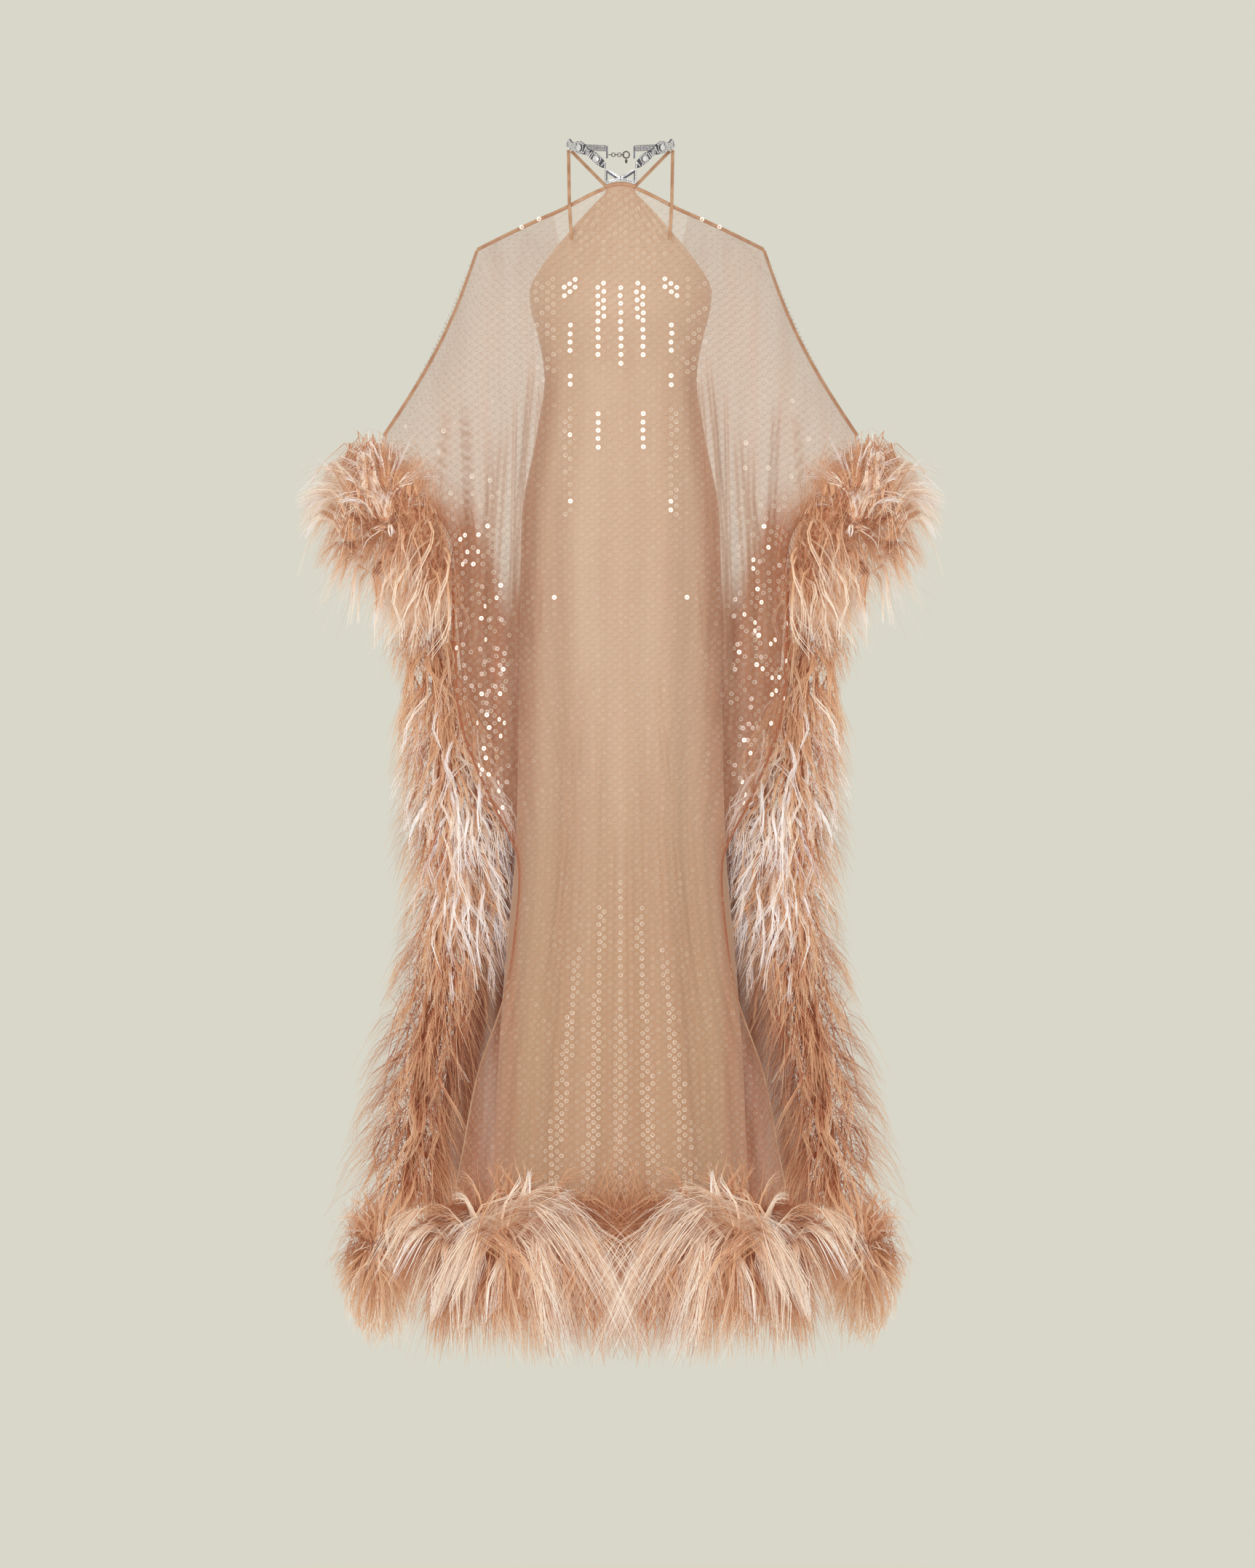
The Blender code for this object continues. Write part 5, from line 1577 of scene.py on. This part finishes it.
class KAFTAN_OT_bindings(bpy.types.Operator):
    """Makes the satin bindings, the arched neck band and the straps, with their stitches"""

    bl_idname = "kaftan.bindings"
    bl_label = "Bindings and straps"

    def execute(self, context):
        colours, size = palette(), sizes()
        satin = tape_finish("satin_binding", colours.tape, colours.tape_darker)
        tree = stitch_growth(tape_finish("binding_thread", colours.tape_darker, colours.tan))
        shaded = tape_finish("side_binding", colours.tape, colours.tape_darker, colours.tan_shadow)

        def top_edge(first, last):
            return [net_point(across, 0.0, FRONT)[0] for across in spread(41, first, last)]

        def free_edge(across):
            return [net_point(across, down, FRONT)[0] for down in spread(91, 0.19, 0.998)]

        def dropped(points):
            return [p + Vector((0, -0.0020, -0.0060)) for p in points]

        shoulder = top_edge(NECK_END, SHOULDER_END)
        for point, across in zip(shoulder, spread(41, NECK_END, SHOULDER_END)):
            point.z += neck_lift(across)
        sleeve = top_edge(SHOULDER_END + 0.002, 0.995)
        for name, edge, within, finish in (
                ("shoulder_tape", shoulder, dropped(shoulder), satin),
                ("sleeve_tape", sleeve, dropped(sleeve), satin),
                ("side_tape", free_edge(1.0), free_edge(0.96), shaded)):
            mesh = tape_mesh(name, edge, within, size.tape_width, finish)
            places, turns = stitches_along(
                edge, within, size.tape_width - 0.0012, size.stitch_pitch)
            both_sides(name, "satin", mesh)
            both_sides(name, "stitches", tree.grow(name + "_stitches", places, {"turn": turns}),
                       False)
        self.band(tape_finish("band_satin", colours.tape, colours.tape_darker))
        self.straps(satin, size.ribbon_width)
        return {"FINISHED"}

    @staticmethod
    def band(satin):
        """The arched band that gathers the front at the throat."""
        def ring(i, centre, along):
            return flat_ring(centre, Z, along.cross(Z), BAND_WIDTH, BAND_THICK)
        centres = [on_band(t, BAND_LIFT) for t in spread(41, -1.0)]
        piece("neck_band_satin", swept("neck_band", centres, ring, satin),
              ["neck_band"])

    @staticmethod
    def straps(satin, width):
        """The ribbons from the collar's side to the neck band and to the slip's edge."""
        top = Vector((0.0680, -0.0060, 0.0073))
        neck = [Vector((0.0190, -0.0668, -0.0412)), top + Vector((-0.004, 0, -0.0012))]
        over, low = (net_point(0.240, down, FRONT)[0] for down in (0.0, 0.034))
        slip = [top, over + Vector((0, -0.0055, 0.0015)), low + Vector((0, -0.0055, 0))]
        for name, line, across in (("neck_strap", neck, Vector((-0.72, 0, 0.69))),
                                   ("slip_strap", slip, X)):
            both_sides(name, "satin", strap_mesh(name, line, across, width, satin))


class KAFTAN_OT_feathers(bpy.types.Operator):
    """Makes the ostrich trims of the cuffs, the sides and the hems"""

    bl_idname = "kaftan.feathers"
    bl_label = "Feather trims"

    def execute(self, context):
        colours, size = palette(), sizes()
        tree = strand_growth(feather_finish(colours))
        core = core_finish(colours)
        for name, path, radius, growth, locks, seed, limits in (
                ("cuff_feathers", cuff_path(), CUFF_CORE, cuff_growth, (440, 1150), 11, None),
                ("side_feathers", side_path(), SIDE_CORE, side_growth, (560, 1750), 12,
                 SIDE_LIMITS),
                ("hem_feathers_front", hem_path(FRONT), HEM_CORE, front_hem_growth,
                 (330, 3300), 13, None),
                ("hem_feathers_back", hem_path(BACK), HEM_CORE, back_hem_growth,
                 (230, 200), 14, None)):
            strands = (size.strands_per_lock, CURLED_STRANDS)
            found = plumes(path, radius, growth, locks, strands, seed, limits)
            both_sides(name, "strands", tree.grow(name, found["root"], found))
            both_sides(name, "core", core_mesh(name + "_core", path, radius, core),
                       False)
        return {"FINISHED"}


class KAFTAN_OT_collar(bpy.types.Operator):
    """Makes the crystal collar: cut stones in their settings, the chain and the clasp"""

    bl_idname = "kaftan.collar"
    bl_label = "Crystal collar"

    def execute(self, context):
        colours = palette()
        cut = crystal_finish(colours)
        setting = metal_finish("stone_setting", colours.setting, colours.slate, 0.40, 0.5)
        slate = metal_finish("slate_metal", colours.slate, colours.setting, 0.35, 0.7)
        metal = metal_finish("dark_metal", colours.metal, colours.setting, 0.35, 0.7)
        tree, bar_tree = stone_growth(cut), bar_growth(cut)
        kinds = [(tree, "collar_point_stones", point_stones())]
        for letter, sign in (("R", 1), ("L", -1)):
            stones, bars = collar_stones(sign)
            kinds += [(tree, "collar_stones_" + letter, stones),
                      (bar_tree, "collar_bars_" + letter, bars)]
        for growth, name, (places, turns, grown) in kinds:
            piece(name, growth.grow(name, places, {"turn": turns, "size": grown}))
        for node in ("collar_L", "collar_R", "collar_point"):
            dressed(node, setting)
        for letter in "LR":
            for number in (1, 2, 3):
                dressed(f"stone_{letter}{number}", cut)
            dressed("collar_bar_" + letter, slate)
        dressed("collar_drop", metal)
        links = [(f"chain_link_{i}", 0.0005) for i in range(1, 6)] + [("clasp_ring", 0.0009)]
        for node, wire in links:
            piece(node + "_wire", ring_mesh(node + "_wire", node, wire, metal),
                  [node])
        return {"FINISHED"}


# Each light's name, place, aim, width and power
LIGHTS = (("key", (-1.1, -6.2, 0.2), (0, 0, -0.80), 2.8, 150.0),
          ("fill", (2.4, -5.2, -0.6), (0, 0, -0.85), 2.4, 30.0))
CAMERA_PLACE, CAMERA_LENS, SENSOR_HEIGHT, FAR_END = (0.009, -30.0, -0.820), 351.6, 24.0, 80.0
FLOOR_DROP, FLOOR_RADIUS = 0.30, 0.85
# How much of the studio's colour the floor gives off, and its two shades send back
FLOOR_GLOW, FLOOR_SHADES = 0.62, (0.45, 0.44)


class KAFTAN_OT_studio(bpy.types.Operator):
    """Makes the plain pale floor and surroundings, the soft light and the camera"""

    bl_idname = "kaftan.studio"
    bl_label = "Studio"

    def execute(self, context):
        scene = context.scene
        self.floor(scene)
        world = bpy.data.worlds.new("studio")
        world.use_nodes = True
        background = world.node_tree.nodes["Background"].inputs
        background["Color"].default_value = whole(palette().studio)
        background["Strength"].default_value = 1.0
        scene.world = world
        for name, place, aim, wide, power in LIGHTS:
            light = bpy.data.lights.new(name, "AREA")
            light.size, light.energy = wide, power
            lamp = bpy.data.objects.new(name, light)
            lamp.location = place
            way = Vector(aim) - Vector(place)
            lamp.rotation_euler = way.to_track_quat("-Z", "Y").to_euler()
            scene.collection.objects.link(lamp)
        lens = bpy.data.cameras.new("camera")
        lens.sensor_fit, lens.sensor_height = "VERTICAL", SENSOR_HEIGHT
        lens.lens, lens.clip_end = CAMERA_LENS, FAR_END
        camera = bpy.data.objects.new("camera", lens)
        camera.location = CAMERA_PLACE
        camera.rotation_euler = (math.pi / 2, 0.0, 0.0)
        scene.collection.objects.link(camera)
        scene.camera = camera
        scene.view_settings.view_transform = "Standard"
        return {"FINISHED"}

    @staticmethod
    def floor(scene):
        """A round pale floor, well below the hem, so that no shadow edge shows on it."""
        rim = circle(Z * (BOX[0][2] - FLOOR_DROP), X, Y, FLOOR_RADIUS, 96)
        mesh = bpy.data.meshes.new("floor")
        mesh.from_pydata(rim, [], [tuple(range(len(rim)))])
        paper = Finish("studio_paper", roughness=0.95, emission_strength=1.0)
        glow, first, second = ([c * share for c in palette().studio]
                               for share in (FLOOR_GLOW, *FLOOR_SHADES))
        fleck = paper.noise(paper.place(), 3.0)
        paper.feed("Base Color", paper.blend(fleck * 0.3, first, second))
        paper.shader.inputs["Emission Color"].default_value = whole(glow)
        mesh.materials.append(paper.material)
        made = bpy.data.objects.new("floor", mesh)
        scene.collection.objects.link(made)


class KAFTAN_PT_panel(bpy.types.Panel):
    """Sizes, colours and steps of the gown"""

    bl_idname = "KAFTAN_PT_panel"
    bl_label = "Feather-trimmed kaftan"
    bl_space_type = "VIEW_3D"
    bl_region_type = "UI"
    bl_category = "Kaftan"

    def draw(self, context):
        layout = self.layout
        for title, group in (("Sizes", sizes()), ("Colours", palette())):
            box = layout.box()
            box.label(text=title)
            for name in group.bl_rna.properties.keys():
                if name not in ("rna_type", "name"):
                    box.prop(group, name)
        for step in STEPS:
            layout.operator(step.bl_idname)


STEPS = (KAFTAN_OT_slip, KAFTAN_OT_net, KAFTAN_OT_bindings, KAFTAN_OT_feathers,
         KAFTAN_OT_collar, KAFTAN_OT_studio)
CLASSES = (GownSizes, GownColours, *STEPS, KAFTAN_PT_panel)


def register():
    for made in CLASSES:
        bpy.utils.register_class(made)
    bpy.types.Scene.gown_sizes = bpy.props.PointerProperty(type=GownSizes)
    bpy.types.Scene.gown_colours = bpy.props.PointerProperty(type=GownColours)


def unregister():
    del bpy.types.Scene.gown_colours
    del bpy.types.Scene.gown_sizes
    for made in reversed(CLASSES):
        bpy.utils.unregister_class(made)


def main():
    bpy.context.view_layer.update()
    register()
    bpy.ops.kaftan.slip()
    bpy.ops.kaftan.net()
    bpy.ops.kaftan.bindings()
    bpy.ops.kaftan.feathers()
    bpy.ops.kaftan.collar()
    bpy.ops.kaftan.studio()


if __name__ == "__main__":
    main()
